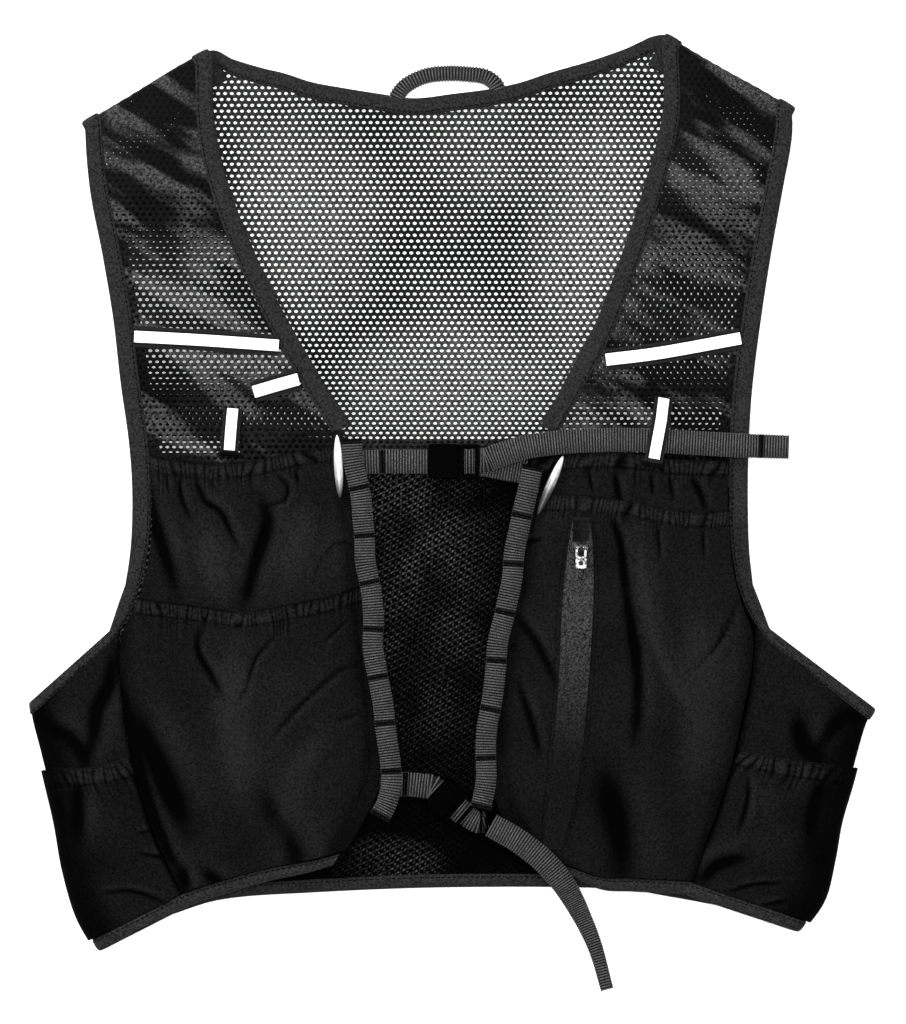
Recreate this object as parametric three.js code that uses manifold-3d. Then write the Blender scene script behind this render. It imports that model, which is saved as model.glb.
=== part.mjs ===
// A running hydration vest, laid flat on its back with the front side up, chest and waist straps closed.
// Millimetres, +X to the wearer's left hand side, +Y towards the shoulders, +Z up from the floor.
import * as THREE from "three";
import { RoundedBoxGeometry } from "three/addons/geometries/RoundedBoxGeometry.js";
import { mergeVertices } from "three/addons/utils/BufferGeometryUtils.js";
import Module from "manifold-3d";

const wasm = await Module();
wasm.setup();
const { lerp, smoothstep } = THREE.MathUtils;

// Overall sizes that the outline tables are shares of
const VEST_WIDTH = 440; // across the two wings
const VEST_LENGTH = 478; // lowest wing tip to the highest shoulder
const FRONT_HEIGHT = 16; // front mesh above the floor, at the inner front edges

// Cloth, trim and clearances
const CLOTH = 1.0;
const BINDING = 1.2;
const FIT_GAP = 0.3;
const SEAM_GAP = 0.6;
const FOLD_CLEARANCE = 1; // more room for one cloth folded round another
const BINDING_WIDTH = 9.5; // neck and upper armhole
const WING_BINDING_WIDTH = 6.4; // wing top and hem
const BACK_BINDING_WIDTH = 8.4;

// Layers that lie one on another
const NECK_CLOTH_Z = 0.6; // middle of the back mesh where it lies on the floor
const BACK_CLOTH_Z = 2.3; // middle of the back mesh over the rear pocket and at the edges
const REAR_PANEL = 1.2;
const SHOULDER_FOLD = 4; // radius of the fold over each shoulder
const SIDE_FOLD = 4.5; // radius of the fold at each side
const SHOULDER_TAIL = 15; // mesh behind each shoulder fold
const WING_BACK = 31; // wing cloth behind each side fold
const POCKET_DEPTH = 9;
const SIDE_POCKET_DEPTH = 8;
const MOUTH_SHARE = 0.82; // how much of its depth a pocket keeps at its mouth
const GATHER_HEIGHT = 1.1;
const GATHER_REACH = 20; // how far down from a mouth the gathers run
const NECK_WAVE = 1.4;

// Webbing, rails and loops
const RAIL_WIDTH = 10.6;
const RAIL_PITCH = 25.4; // from tack to tack
const RAIL_HUMP = 2.2;
const RAIL_REST = RAIL_WIDTH / 2 + 4; // pocket cloth that lies flat under a rail
const STRAP_WIDTH = 12.5;
const WEBBING = 1.3;
const LOOP_WIDTH = 8;
const LOOP_THICKNESS = 3;
const TAPE = 0.8;
const REFLECTIVE_WIDTH = 11;
const TAB_WIDTH = 11;
const KEEPER_WIDTH = 9.5;

// Hard pieces
const BUCKLE_LENGTH = 26.5;
const BUCKLE_WIDTH = 18;
const BUCKLE_THICKNESS = 6;
const WAIST_BUCKLE_LENGTH = 21;
const PRONG_WALL = 1.4;
const TOGGLE_LENGTH = 33;
const TOGGLE_WIDTH = 4.6;
const TOGGLE_THICKNESS = 2.2;
const ADJUSTER_LENGTH = 7;
const ADJUSTER_WIDTH = 19;
const ADJUSTER_THICKNESS = 2.4;
const ZIP_WIDTH = 15.5;
const SLIDER_WIDTH = 9.6;
const SLIDER_LENGTH = 6;
const SLIDER_THICKNESS = 2;
const BRIDGE_WIDTH = 1.8;
const BRIDGE_LENGTH = 6;
const BRIDGE_HEIGHT = 3.4;
const BRIDGE_WALL = 1.1;
const GARAGE_WIDTH = 8.2;
const PULL_LENGTH = 11;
const PULL_WIDTH = 5.8;
const PULL_THICKNESS = 1;

const HALF_WIDTH = VEST_WIDTH / 2;
const LAYER = CLOTH + FIT_GAP; // from one cloth's middle to the next
const TRIM_LIFT = CLOTH / 2 + FIT_GAP + BINDING / 2;
const TAPE_LIFT = CLOTH / 2 + FIT_GAP + TAPE / 2;
const SHOULDER_TOP = BACK_CLOTH_Z + 2 * SHOULDER_FOLD;
const SIDE_TOP = BACK_CLOTH_Z + 2 * SIDE_FOLD;
const RAIL_LIFT = 2 * LAYER + CLOTH / 2 + FIT_GAP + WEBBING / 2;
const STRAP_LIFT = LAYER + CLOTH / 2 + FIT_GAP + WEBBING / 2;

// In the outline tables v is a share of VEST_LENGTH, and the other lengths are shares of half of VEST_WIDTH.
const LEFT = {
  hand: 1,
  sections: [
    { v: 0.05, outer: -0.624, inner: -0.33 },
    { v: 0.1, outer: -0.677, inner: -0.262 },
    { v: 0.15, outer: -0.72, inner: -0.196 },
    { v: 0.2, outer: -0.75, inner: -0.152 },
    { v: 0.25, outer: -0.771, inner: -0.155 },
    { v: 0.32, outer: -0.785, inner: -0.172 },
    { v: 0.38, outer: -0.776, inner: -0.188 },
    { v: 0.44, outer: -0.757, inner: -0.204 },
    { v: 0.5, outer: -0.753, inner: -0.216 },
    { v: 0.555, outer: -0.761, inner: -0.226 },
    { v: 0.62, outer: -0.781, inner: -0.306 },
    { v: 0.69, outer: -0.799, inner: -0.394 },
    { v: 0.76, outer: -0.825, inner: -0.468 },
    { v: 0.83, outer: -0.855, inner: -0.527 },
    { v: 0.9, outer: -0.867, inner: -0.563 },
    { v: 0.975, outer: -0.862, inner: -0.57 },
  ],
  hem: [
    { s: 0, v: 0.051 },
    { s: 0.3, v: 0.064 },
    { s: 0.6, v: 0.078 },
    { s: 0.85, v: 0.088 },
    { s: 1, v: 0.098 },
  ],
  shoulder: [
    { s: 0, v: 0.903 },
    { s: 0.4, v: 0.936 },
    { s: 0.77, v: 0.967 },
    { s: 1, v: 0.983 },
  ],
  wing: [
    { seam: -0.624, seamV: 0.051, edge: -0.836, edgeV: 0.001 },
    { seam: -0.669, seamV: 0.091, edge: -0.883, edgeV: 0.04 },
    { seam: -0.707, seamV: 0.129, edge: -0.914, edgeV: 0.089 },
    { seam: -0.735, seamV: 0.171, edge: -0.933, edgeV: 0.138 },
    { seam: -0.759, seamV: 0.218, edge: -0.954, edgeV: 0.18 },
    { seam: -0.775, seamV: 0.261, edge: -0.975, edgeV: 0.22 },
    { seam: -0.784, seamV: 0.307, edge: -0.992, edgeV: 0.25 },
    { seam: -0.784, seamV: 0.359, edge: -0.999, edgeV: 0.271 },
  ],
  upperMouth: [
    { s: 0.04, v: 0.544 },
    { s: 0.2, v: 0.535 },
    { s: 0.44, v: 0.532 },
    { s: 0.71, v: 0.544 },
    { s: 0.93, v: 0.552 },
  ],
  lowerMouth: [
    { s: 0.04, v: 0.386 },
    { s: 0.31, v: 0.378 },
    { s: 0.49, v: 0.372 },
    { s: 0.67, v: 0.38 },
    { s: 0.83, v: 0.388 },
    { s: 0.96, v: 0.399 },
  ],
  sideMouth: [
    { a: 0, v: 0.213 },
    { a: 0.5, v: 0.203 },
    { a: 1, v: 0.201 },
  ],
  rail: [
    { v: 0.149, u: -0.17 },
    { v: 0.165, u: -0.155 },
    { v: 0.193, u: -0.144 },
    { v: 0.225, u: -0.148 },
    { v: 0.269, u: -0.165 },
    { v: 0.318, u: -0.179 },
    { v: 0.372, u: -0.188 },
    { v: 0.47, u: -0.21 },
    { v: 0.524, u: -0.224 },
    { v: 0.559, u: -0.236 },
  ],
};

const RIGHT = {
  hand: -1,
  sections: [
    { v: 0.05, outer: 0.545, inner: 0.3 },
    { v: 0.09, outer: 0.58, inner: 0.254 },
    { v: 0.12, outer: 0.6, inner: 0.16 },
    { v: 0.15, outer: 0.625, inner: 0.112 },
    { v: 0.2, outer: 0.657, inner: 0.078 },
    { v: 0.26, outer: 0.686, inner: 0.08 },
    { v: 0.32, outer: 0.71, inner: 0.101 },
    { v: 0.38, outer: 0.712, inner: 0.123 },
    { v: 0.44, outer: 0.699, inner: 0.142 },
    { v: 0.5, outer: 0.696, inner: 0.166 },
    { v: 0.55, outer: 0.698, inner: 0.19 },
    { v: 0.61, outer: 0.706, inner: 0.256 },
    { v: 0.68, outer: 0.725, inner: 0.337 },
    { v: 0.76, outer: 0.752, inner: 0.404 },
    { v: 0.83, outer: 0.78, inner: 0.454 },
    { v: 0.89, outer: 0.803, inner: 0.491 },
    { v: 0.93, outer: 0.8, inner: 0.503 },
    { v: 0.99, outer: 0.79, inner: 0.499 },
  ],
  hem: [
    { s: 0, v: 0.064 },
    { s: 0.5, v: 0.067 },
    { s: 0.77, v: 0.07 },
    { s: 1, v: 0.089 },
  ],
  shoulder: [
    { s: 0, v: 0.919 },
    { s: 0.25, v: 0.94 },
    { s: 0.51, v: 0.96 },
    { s: 0.76, v: 0.98 },
    { s: 1, v: 1.0 },
  ],
  wing: [
    { seam: 0.561, seamV: 0.062, edge: 0.82, edgeV: 0.022 },
    { seam: 0.584, seamV: 0.102, edge: 0.874, edgeV: 0.057 },
    { seam: 0.617, seamV: 0.138, edge: 0.898, edgeV: 0.1 },
    { seam: 0.648, seamV: 0.182, edge: 0.914, edgeV: 0.141 },
    { seam: 0.671, seamV: 0.22, edge: 0.94, edgeV: 0.182 },
    { seam: 0.69, seamV: 0.257, edge: 0.963, edgeV: 0.222 },
    { seam: 0.706, seamV: 0.296, edge: 0.982, edgeV: 0.25 },
    { seam: 0.716, seamV: 0.363, edge: 1.001, edgeV: 0.264 },
  ],
  upperMouth: [
    { s: 0.02, v: 0.534 },
    { s: 0.29, v: 0.536 },
    { s: 0.456, v: 0.541 },
    { s: 0.67, v: 0.543 },
    { s: 0.9, v: 0.539 },
  ],
  lowerMouth: [
    { s: 0.02, v: 0.483 },
    { s: 0.19, v: 0.479 },
    { s: 0.37, v: 0.483 },
    { s: 0.51, v: 0.491 },
    { s: 0.75, v: 0.497 },
    { s: 0.95, v: 0.497 },
  ],
  sideMouth: [
    { a: 0, v: 0.222 },
    { a: 0.5, v: 0.211 },
    { a: 1, v: 0.203 },
  ],
  rail: [
    { v: 0.159, u: 0.068 },
    { v: 0.187, u: 0.075 },
    { v: 0.225, u: 0.082 },
    { v: 0.274, u: 0.092 },
    { v: 0.329, u: 0.108 },
    { v: 0.383, u: 0.13 },
    { v: 0.443, u: 0.151 },
    { v: 0.497, u: 0.174 },
    { v: 0.53, u: 0.19 },
  ],
};

// Height of the front mesh, as shares of FRONT_HEIGHT
const FRONT_RISE = [
  { v: 0.05, outer: 0.76, inner: 0.8 },
  { v: 0.2, outer: 0.86, inner: 0.97 },
  { v: 0.36, outer: 0.86, inner: 1 },
  { v: 0.55, outer: 0.88, inner: 1 },
  { v: 0.7, outer: 0.8, inner: 0.88 },
  { v: 0.85, outer: 0.72, inner: 0.76 },
];

// How much of BINDING_WIDTH the pockets keep clear at the armhole
const ARMHOLE_INSET = [
  { v: 0.3, share: 0 },
  { v: 0.345, share: 0.08 },
  { v: 0.381, share: 0.72 },
  { v: 0.42, share: 1 },
  { v: 0.6, share: 1.04 },
];

// Long soft folds of the pocket cloth: from and to as shares, width and rise in shares of POCKET_DEPTH
const LEFT_UPPER_FOLDS = [
  { u1: -0.71, v1: 0.52, u2: -0.64, v2: 0.4, width: 1.5, rise: 0.32 },
  { u1: -0.43, v1: 0.5, u2: -0.49, v2: 0.4, width: 1.3, rise: -0.2 },
  { u1: -0.36, v1: 0.53, u2: -0.4, v2: 0.42, width: 1.4, rise: 0.26 },
];
const LEFT_LOWER_FOLDS = [
  { u1: -0.24, v1: 0.31, u2: -0.42, v2: 0.22, width: 1.3, rise: 0.34 },
  { u1: -0.58, v1: 0.34, u2: -0.53, v2: 0.28, width: 1, rise: -0.2 },
  { u1: -0.45, v1: 0.34, u2: -0.48, v2: 0.27, width: 1.2, rise: 0.24 },
];
const RIGHT_LOWER_FOLDS = [
  { u1: 0.38, v1: 0.47, u2: 0.43, v2: 0.2, width: 1, rise: -0.22 },
  { u1: 0.45, v1: 0.45, u2: 0.56, v2: 0.26, width: 1.4, rise: 0.32 },
  { u1: 0.63, v1: 0.35, u2: 0.56, v2: 0.31, width: 1, rise: -0.2 },
  { u1: 0.15, v1: 0.36, u2: 0.22, v2: 0.32, width: 1.1, rise: 0.2 },
];

// The neck edge of the back, from the left shoulder to the right one
const BACK_TOP = [
  { s: 0, v: 0.86 },
  { s: 0.05, v: 0.882 },
  { s: 0.1, v: 0.904 },
  { s: 0.14, v: 0.921 },
  { s: 0.163, v: 0.931 },
  { s: 0.194, v: 0.941 },
  { s: 0.213, v: 0.97 },
  { s: 0.26, v: 0.961 },
  { s: 0.31, v: 0.949 },
  { s: 0.36, v: 0.942 },
  { s: 0.41, v: 0.936 },
  { s: 0.46, v: 0.931 },
  { s: 0.52, v: 0.936 },
  { s: 0.58, v: 0.942 },
  { s: 0.62, v: 0.949 },
  { s: 0.66, v: 0.959 },
  { s: 0.72, v: 0.972 },
  { s: 0.77, v: 0.985 },
  { s: 0.784, v: 0.988 },
  { s: 0.805, v: 0.957 },
  { s: 0.836, v: 0.943 },
  { s: 0.86, v: 0.934 },
  { s: 0.9, v: 0.916 },
  { s: 0.95, v: 0.893 },
  { s: 1, v: 0.87 },
];

// The lower edge of the back
const BACK_HEM = [
  { s: 0, v: 0.036 },
  { s: 0.1, v: 0.055 },
  { s: 0.25, v: 0.062 },
  { s: 0.5, v: 0.067 },
  { s: 0.8, v: 0.064 },
  { s: 0.9, v: 0.054 },
  { s: 1, v: 0.042 },
];

// The back's armhole edges, above the wings
const BACK_ARMHOLE = [
  { t: 0.25, left: -0.79, right: 0.745, v: 0.37 },
  { t: 0.4, left: -0.735, right: 0.68, v: 0.47 },
  { t: 0.6, left: -0.755, right: 0.69, v: 0.62 },
  { t: 0.8, left: -0.8, right: 0.735, v: 0.76 },
  { t: 1, left: -0.84, right: 0.785, v: 0.88 },
];

// Centre line and width of the zip, the width as a share of ZIP_WIDTH
const ZIP_LINE = [
  { v: 0.113, u: 0.236, width: 0.62 },
  { v: 0.176, u: 0.259, width: 0.9 },
  { v: 0.274, u: 0.28, width: 0.96 },
  { v: 0.383, u: 0.294, width: 1 },
  { v: 0.44, u: 0.3, width: 0.8 },
  { v: 0.47, u: 0.302, width: 0.56 },
];

// A smooth curve through a table's rows, straight beyond both ends.
function reader(rows, key, column) {
  const slope = (i, j) => (rows[j][column] - rows[i][column]) / (rows[j][key] - rows[i][key]);
  const last = rows.length - 1;
  const tangent = (i) => slope(Math.max(i - 1, 0), Math.min(i + 1, last));
  return (x) => {
    if (x <= rows[0][key]) return rows[0][column] + (x - rows[0][key]) * slope(0, 1);
    if (x >= rows[last][key]) return rows[last][column] + (x - rows[last][key]) * slope(last - 1, last);
    const i = rows.findIndex((row, at) => x <= rows[at + 1][key]);
    const span = rows[i + 1][key] - rows[i][key];
    const t = (x - rows[i][key]) / span;
    const bend = (3 - 2 * t) * t * t;
    const lead = t * (1 - t) * (1 - t) * span * tangent(i);
    const trail = t * t * (t - 1) * span * tangent(i + 1);
    return lerp(rows[i][column], rows[i + 1][column], bend) + lead + trail;
  };
}

const steps = (from, to, count) => Array.from({ length: count + 1 }, (_, i) => lerp(from, to, i / count));
const unit = (from, to) => to.clone().sub(from).normalize();

// Turns the faces round where the solid would be inside out.
function facingOut(points, triangles) {
  let volume = 0;
  for (const [a, b, c] of triangles) {
    volume += points[a].dot(new THREE.Vector3().crossVectors(points[b], points[c]));
  }
  const turned = volume < 0 ? triangles.map(([a, b, c]) => [a, c, b]) : triangles;
  const geometry = new THREE.BufferGeometry().setFromPoints(points);
  geometry.setIndex(turned.flat());
  return geometry;
}

// A cloth wall: the surface at(a, b) on a grid, thickened to both sides and closed along its borders.
function cloth(at, as, bs, thickness) {
  const nudge = 1e-3;
  const points = [];
  const columns = bs.length;
  for (const side of [1, -1]) {
    for (const a of as) {
      for (const b of bs) {
        const alongA = at(a + nudge, b).sub(at(a - nudge, b));
        const alongB = at(a, b + nudge).sub(at(a, b - nudge));
        const normal = alongA.cross(alongB).normalize();
        points.push(at(a, b).addScaledVector(normal, (side * thickness) / 2));
      }
    }
  }
  const back = as.length * columns;
  const triangles = [];
  const quad = (p, q, r, s) => triangles.push([p, q, r], [p, r, s]);
  for (let i = 0; i + 1 < as.length; i++) {
    for (let j = 0; j + 1 < columns; j++) {
      const p = i * columns + j;
      quad(p, p + columns, p + columns + 1, p + 1);
      quad(back + p, back + p + 1, back + p + columns + 1, back + p + columns);
    }
  }
  const lastRow = (as.length - 1) * columns;
  for (let j = 0; j + 1 < columns; j++) {
    quad(j, j + 1, back + j + 1, back + j);
    quad(lastRow + j + 1, lastRow + j, back + lastRow + j, back + lastRow + j + 1);
  }
  for (let i = 0; i + 1 < as.length; i++) {
    const p = i * columns;
    const q = p + columns - 1;
    quad(p + columns, p, back + p, back + p + columns);
    quad(q, q + columns, back + q + columns, back + q);
  }
  return facingOut(points, triangles);
}

// A strip along frames { at, across, up }: it covers from..to across, its middle lift above the frame.
function strip(frames, { from, to, thickness, lift = 0 }) {
  const points = frames.flatMap(({ at, across, up, narrow = 1 }) =>
    [
      [from, 0.5],
      [to, 0.5],
      [to, -0.5],
      [from, -0.5],
    ].map(([side, level]) =>
      at
        .clone()
        .addScaledVector(across, side * narrow)
        .addScaledVector(up, lift + level * thickness),
    ),
  );
  const triangles = [
    [0, 1, 2],
    [0, 2, 3],
  ];
  const end = points.length - 4;
  triangles.push([end, end + 2, end + 1], [end, end + 3, end + 2]);
  for (let i = 0; i < end; i += 4) {
    for (let k = 0; k < 4; k++) {
      const next = (k + 1) % 4;
      triangles.push([i + k, i + 4 + k, i + 4 + next], [i + k, i + 4 + next, i + next]);
    }
  }
  return facingOut(points, triangles);
}

// Frames of a flat band that follows a smooth line through points.
function bandFrames(points, count, across = null) {
  const line = new THREE.CatmullRomCurve3(points, false, "centripetal");
  return steps(0, 1, count).map((t) => {
    const tangent = line.getTangentAt(t);
    const sideways = across ? across.clone() : new THREE.Vector3(-tangent.y, tangent.x, 0).normalize();
    const up = new THREE.Vector3().crossVectors(tangent, sideways).normalize();
    return { at: line.getPointAt(t), across: sideways, up };
  });
}

// The finished front strap and panel of one side
function front(side) {
  const outer = reader(side.sections, "v", "outer");
  const inner = reader(side.sections, "v", "inner");
  const hem = reader(side.hem, "s", "v");
  const shoulder = reader(side.shoulder, "s", "v");
  const outerRise = reader(FRONT_RISE, "v", "outer");
  const innerRise = reader(FRONT_RISE, "v", "inner");
  const x = (s, v) => lerp(outer(v), inner(v), s) * HALF_WIDTH;
  const plan = (s, v) => new THREE.Vector3(x(s, v), v * VEST_LENGTH, 0);
  const share = (px, v) => (px / HALF_WIDTH - outer(v)) / (inner(v) - outer(v));
  const foldAxis = unit(plan(0, shoulder(0)), plan(1, shoulder(1)));
  const out = new THREE.Vector3(-foldAxis.y, foldAxis.x, 0).multiplyScalar(side.hand);
  const foldStart = (s) => shoulder(s) - (SHOULDER_FOLD * out.y) / VEST_LENGTH;
  const z = (s, v) => {
    const table = FRONT_HEIGHT * lerp(outerRise(v), innerRise(v), smoothstep(s, 0, 1));
    return lerp(table, SHOULDER_TOP, smoothstep(v, foldStart(s) - 0.16, foldStart(s)));
  };
  const height = (s, k) => lerp(hem(s), foldStart(s), k);
  // k runs 0..1 from the hem to the fold, 1..2 round it and 2..3 behind it.
  const at = (s, k) => {
    if (k <= 1) {
      const v = height(s, k);
      return plan(s, v).setZ(z(s, v));
    }
    const start = plan(s, foldStart(s));
    const turn = Math.min(k - 1, 1) * Math.PI;
    const behind = Math.max(k - 2, 0) * SHOULDER_TAIL;
    start.addScaledVector(out, SHOULDER_FOLD * Math.sin(turn) - behind);
    return start.setZ(BACK_CLOTH_Z + SHOULDER_FOLD * (1 + Math.cos(turn)));
  };
  const rowOf = (s, v) => (v - hem(s)) / (foldStart(s) - hem(s));
  return { ...side, hem, x, z, at, share, plan, rowOf };
}

// The wing of one side: a runs 0..1 from the seam to the side fold, 1..2 round it and 2..3 behind it.
function wing(side, panel) {
  const rows = side.wing.map((row, i) => ({ ...row, t: i / (side.wing.length - 1) }));
  const seam = reader(rows, "t", "seam");
  const seamV = reader(rows, "t", "seamV");
  const edge = reader(rows, "t", "edge");
  const edgeV = reader(rows, "t", "edgeV");
  const at = (a, t) => {
    const start = new THREE.Vector3(seam(t) * HALF_WIDTH, seamV(t) * VEST_LENGTH, 0);
    const end = new THREE.Vector3(edge(t) * HALF_WIDTH, edgeV(t) * VEST_LENGTH, 0);
    const out = unit(start, end);
    start.addScaledVector(out, SEAM_GAP);
    const foldStart = end.clone().addScaledVector(out, -SIDE_FOLD);
    if (a <= 1) {
      const seamZ = panel.z(0, seamV(t));
      return start.lerp(foldStart, a).setZ(lerp(seamZ, SIDE_TOP, smoothstep(a, 0, 1)));
    }
    const turn = Math.min(a - 1, 1) * Math.PI;
    const behind = Math.max(a - 2, 0) * WING_BACK;
    foldStart.addScaledVector(out, SIDE_FOLD * Math.sin(turn) - behind);
    return foldStart.setZ(BACK_CLOTH_Z + SIDE_FOLD * (1 + Math.cos(turn)));
  };
  return { ...side, at, seamV };
}

const leftFront = front(LEFT);
const rightFront = front(RIGHT);
const leftWing = wing(LEFT, leftFront);
const rightWing = wing(RIGHT, rightFront);

// The outward normal of a surface, hand being 1 or -1 for its side of the vest.
function normalOf(at, a, b, hand) {
  const nudge = 1e-3;
  const alongA = at(a + nudge, b).sub(at(a - nudge, b));
  const alongB = at(a, b + nudge).sub(at(a, b - nudge));
  return alongA.cross(alongB).normalize().multiplyScalar(hand);
}

// A frame on a surface's edge, its across pointing into the surface.
function edgeFrame(at, a, b, stepA, stepB, hand, narrow = 1) {
  const here = at(a, b);
  return { at: here, across: unit(here, at(a + stepA, b + stepB)), up: normalOf(at, a, b, hand), narrow };
}

// Pockets: each is a height over the front mesh, as a function of the share across and the height v.
function foldRise(folds, px, v) {
  let rise = 0;
  for (const fold of folds) {
    const start = new THREE.Vector2(fold.u1 * HALF_WIDTH, fold.v1 * VEST_LENGTH);
    const end = new THREE.Vector2(fold.u2 * HALF_WIDTH, fold.v2 * VEST_LENGTH);
    const here = new THREE.Vector2(px, v * VEST_LENGTH);
    const along = end.clone().sub(start);
    const t = here.clone().sub(start).dot(along) / along.lengthSq();
    const near = start.clone().addScaledVector(along, THREE.MathUtils.clamp(t, 0, 1));
    const reach = here.distanceTo(near) / (fold.width * POCKET_DEPTH);
    rise += fold.rise * POCKET_DEPTH * Math.exp(-reach * reach);
  }
  return rise;
}

function pocket(panel, mouthRows, base, { folds, waves, phase, innerEnd }) {
  const mouth = reader(mouthRows, "s", "v");
  const inset = reader(ARMHOLE_INSET, "v", "share");
  const low = (s) => panel.hem(s) + (WING_BINDING_WIDTH + SEAM_GAP) / VEST_LENGTH;
  const puff = (s, v) => {
    const k = THREE.MathUtils.clamp((v - low(s)) / (mouth(s) - low(s)), 0, 1);
    const width = Math.abs(panel.x(1, v) - panel.x(0, v));
    const clear = (s * width) / (width - RAIL_REST);
    const across = Math.sin(Math.PI * THREE.MathUtils.clamp(clear, 0, 1)) ** 0.75;
    const along = smoothstep(k, 0, 0.42) * lerp(1, MOUTH_SHARE, smoothstep(k, 0.6, 1));
    const drop = (mouth(s) - v) * VEST_LENGTH;
    const gather = Math.exp(-((drop / GATHER_REACH) ** 2)) * Math.sin(2 * Math.PI * (waves * s + phase));
    const soft = foldRise(folds, panel.x(s, v), v) * smoothstep(k, 0.05, 0.2);
    return across * (POCKET_DEPTH * along + GATHER_HEIGHT * gather + soft);
  };
  const z = (s, v) => base(s, v) + LAYER + puff(s, v);
  const at = (a, b) => {
    const v = lerp(low(a), mouth(a), b);
    const width = Math.abs(panel.x(1, v) - panel.x(0, v));
    const outerEnd = Math.max(inset(v), 0) * (BINDING_WIDTH / width) + SEAM_GAP / width;
    const s = lerp(outerEnd, innerEnd, a);
    return new THREE.Vector3(panel.x(s, v), v * VEST_LENGTH, z(s, v));
  };
  return { z, at, mouth };
}

const POCKET_END = 0.99;
const leftUpper = pocket(leftFront, LEFT.upperMouth, leftFront.z, {
  folds: LEFT_UPPER_FOLDS,
  waves: 7,
  phase: 0.1,
  innerEnd: POCKET_END,
});
const leftLower = pocket(leftFront, LEFT.lowerMouth, leftUpper.z, {
  folds: LEFT_LOWER_FOLDS,
  waves: 8,
  phase: 0.35,
  innerEnd: POCKET_END,
});
const rightUpper = pocket(rightFront, RIGHT.upperMouth, rightFront.z, {
  folds: [],
  waves: 7,
  phase: 0.2,
  innerEnd: POCKET_END,
});
const zipPocket = pocket(rightFront, RIGHT.lowerMouth, rightUpper.z, {
  folds: RIGHT_LOWER_FOLDS,
  waves: 8,
  phase: 0.6,
  innerEnd: POCKET_END,
});

// The back: q runs 0..1 from its hem to its top, s across it from left to right.
const WING_ROWS = 0.25; // the part of q beside the wings
const WING_HEIGHTS = [0, 0.05, ...steps(1 / 7, 1, 6)];
const backTop = reader(BACK_TOP, "s", "v");
const backHem = reader(BACK_HEM, "s", "v");
const armholeV = reader(BACK_ARMHOLE, "t", "v");
function backSide(wingSurface, column, q) {
  const beside = Math.min(q / WING_ROWS, 1);
  const seam = wingSurface.at(3, beside);
  seam.addScaledVector(unit(wingSurface.at(2.5, beside), seam), SEAM_GAP);
  if (q <= WING_ROWS) return seam;
  const rows = reader(BACK_ARMHOLE, "t", column);
  const armhole = new THREE.Vector3(rows(q) * HALF_WIDTH, armholeV(q) * VEST_LENGTH, 0);
  return armhole.lerp(seam, 1 - smoothstep(q, WING_ROWS, 0.34));
}
function backAt(s, q) {
  const left = backSide(leftWing, "left", q);
  const right = backSide(rightWing, "right", q);
  const y = lerp(left.y, right.y, s);
  const hemLine = lerp(backHem(0), backHem(1), s);
  const hemBow = (backHem(s) - hemLine) * (1 - smoothstep(q, 0, 0.5));
  const topBow = (backTop(s) - armholeV(1)) * smoothstep(q, 0.3, 1);
  const edge = 1 - smoothstep(Math.min(s, 1 - s), 0.06, 0.16);
  const low = 1 - smoothstep(q, 0.52, 0.66);
  const top = smoothstep(q, 0.86, 0.96);
  const lift = Math.max(edge, low, top);
  const wave = NECK_WAVE * (1 - lift) * (Math.sin(9 * s + 7 * q) * Math.cos(11 * q - 4 * s)) ** 2;
  const z = lerp(NECK_CLOTH_Z, BACK_CLOTH_Z, lift) + wave;
  return new THREE.Vector3(lerp(left.x, right.x, s), y + (hemBow + topBow) * VEST_LENGTH, z);
}

// Finishes
const FINISHES = {
  mesh: { color: 0x17181a, roughness: 0.75, metalness: 0 },
  cloth: { color: 0x0d0e10, roughness: 0.85, metalness: 0 },
  binding: { color: 0x2b2c2e, roughness: 0.8, metalness: 0 },
  webbing: { color: 0x26272a, roughness: 0.7, metalness: 0 },
  plastic: { color: 0x0b0b0c, roughness: 0.35, metalness: 0 },
  reflective: { color: 0xf4f5f6, roughness: 0.4, metalness: 0 },
  silver: { color: 0xc9cccf, roughness: 0.3, metalness: 0.2 },
  zip: { color: 0x2a2b2d, roughness: 0.6, metalness: 0 },
  metal: { color: 0xb9bcc0, roughness: 0.3, metalness: 0.9 },
};

const vest = new THREE.Group();
function add(name, geometry, finish, place = vest) {
  const mesh = new THREE.Mesh(geometry, new THREE.MeshStandardMaterial(FINISHES[finish]));
  mesh.name = name;
  place.add(mesh);
  return mesh;
}

// Mesh panels
const BACK_COLUMNS = BACK_TOP.map((row) => row.s);
const BACK_ROWS = [...WING_HEIGHTS.map((t) => t * WING_ROWS), ...steps(0.3, 1, 10)];
add("back_mesh", cloth(backAt, BACK_COLUMNS, BACK_ROWS, CLOTH), "mesh");
const FRONT_ROWS = [...steps(0, 1, 15), 1.25, 1.5, 1.75, 2, 3];
for (const [name, panel] of [
  ["left", leftFront],
  ["right", rightFront],
]) {
  add("front_mesh_" + name, cloth(panel.at, steps(0, 1, 8), FRONT_ROWS, CLOTH), "mesh");
}

// The rear pocket's outer cloth, flat on the floor under the back mesh
const rearPanelAt = (s, q) => {
  const above = backAt(lerp(0.16, 0.84, s), lerp(0.06, 0.5, q));
  return above.setZ(REAR_PANEL / 2);
};
add("rear_pocket_panel", cloth(rearPanelAt, steps(0, 1, 8), steps(0, 1, 5), REAR_PANEL), "cloth");

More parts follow.
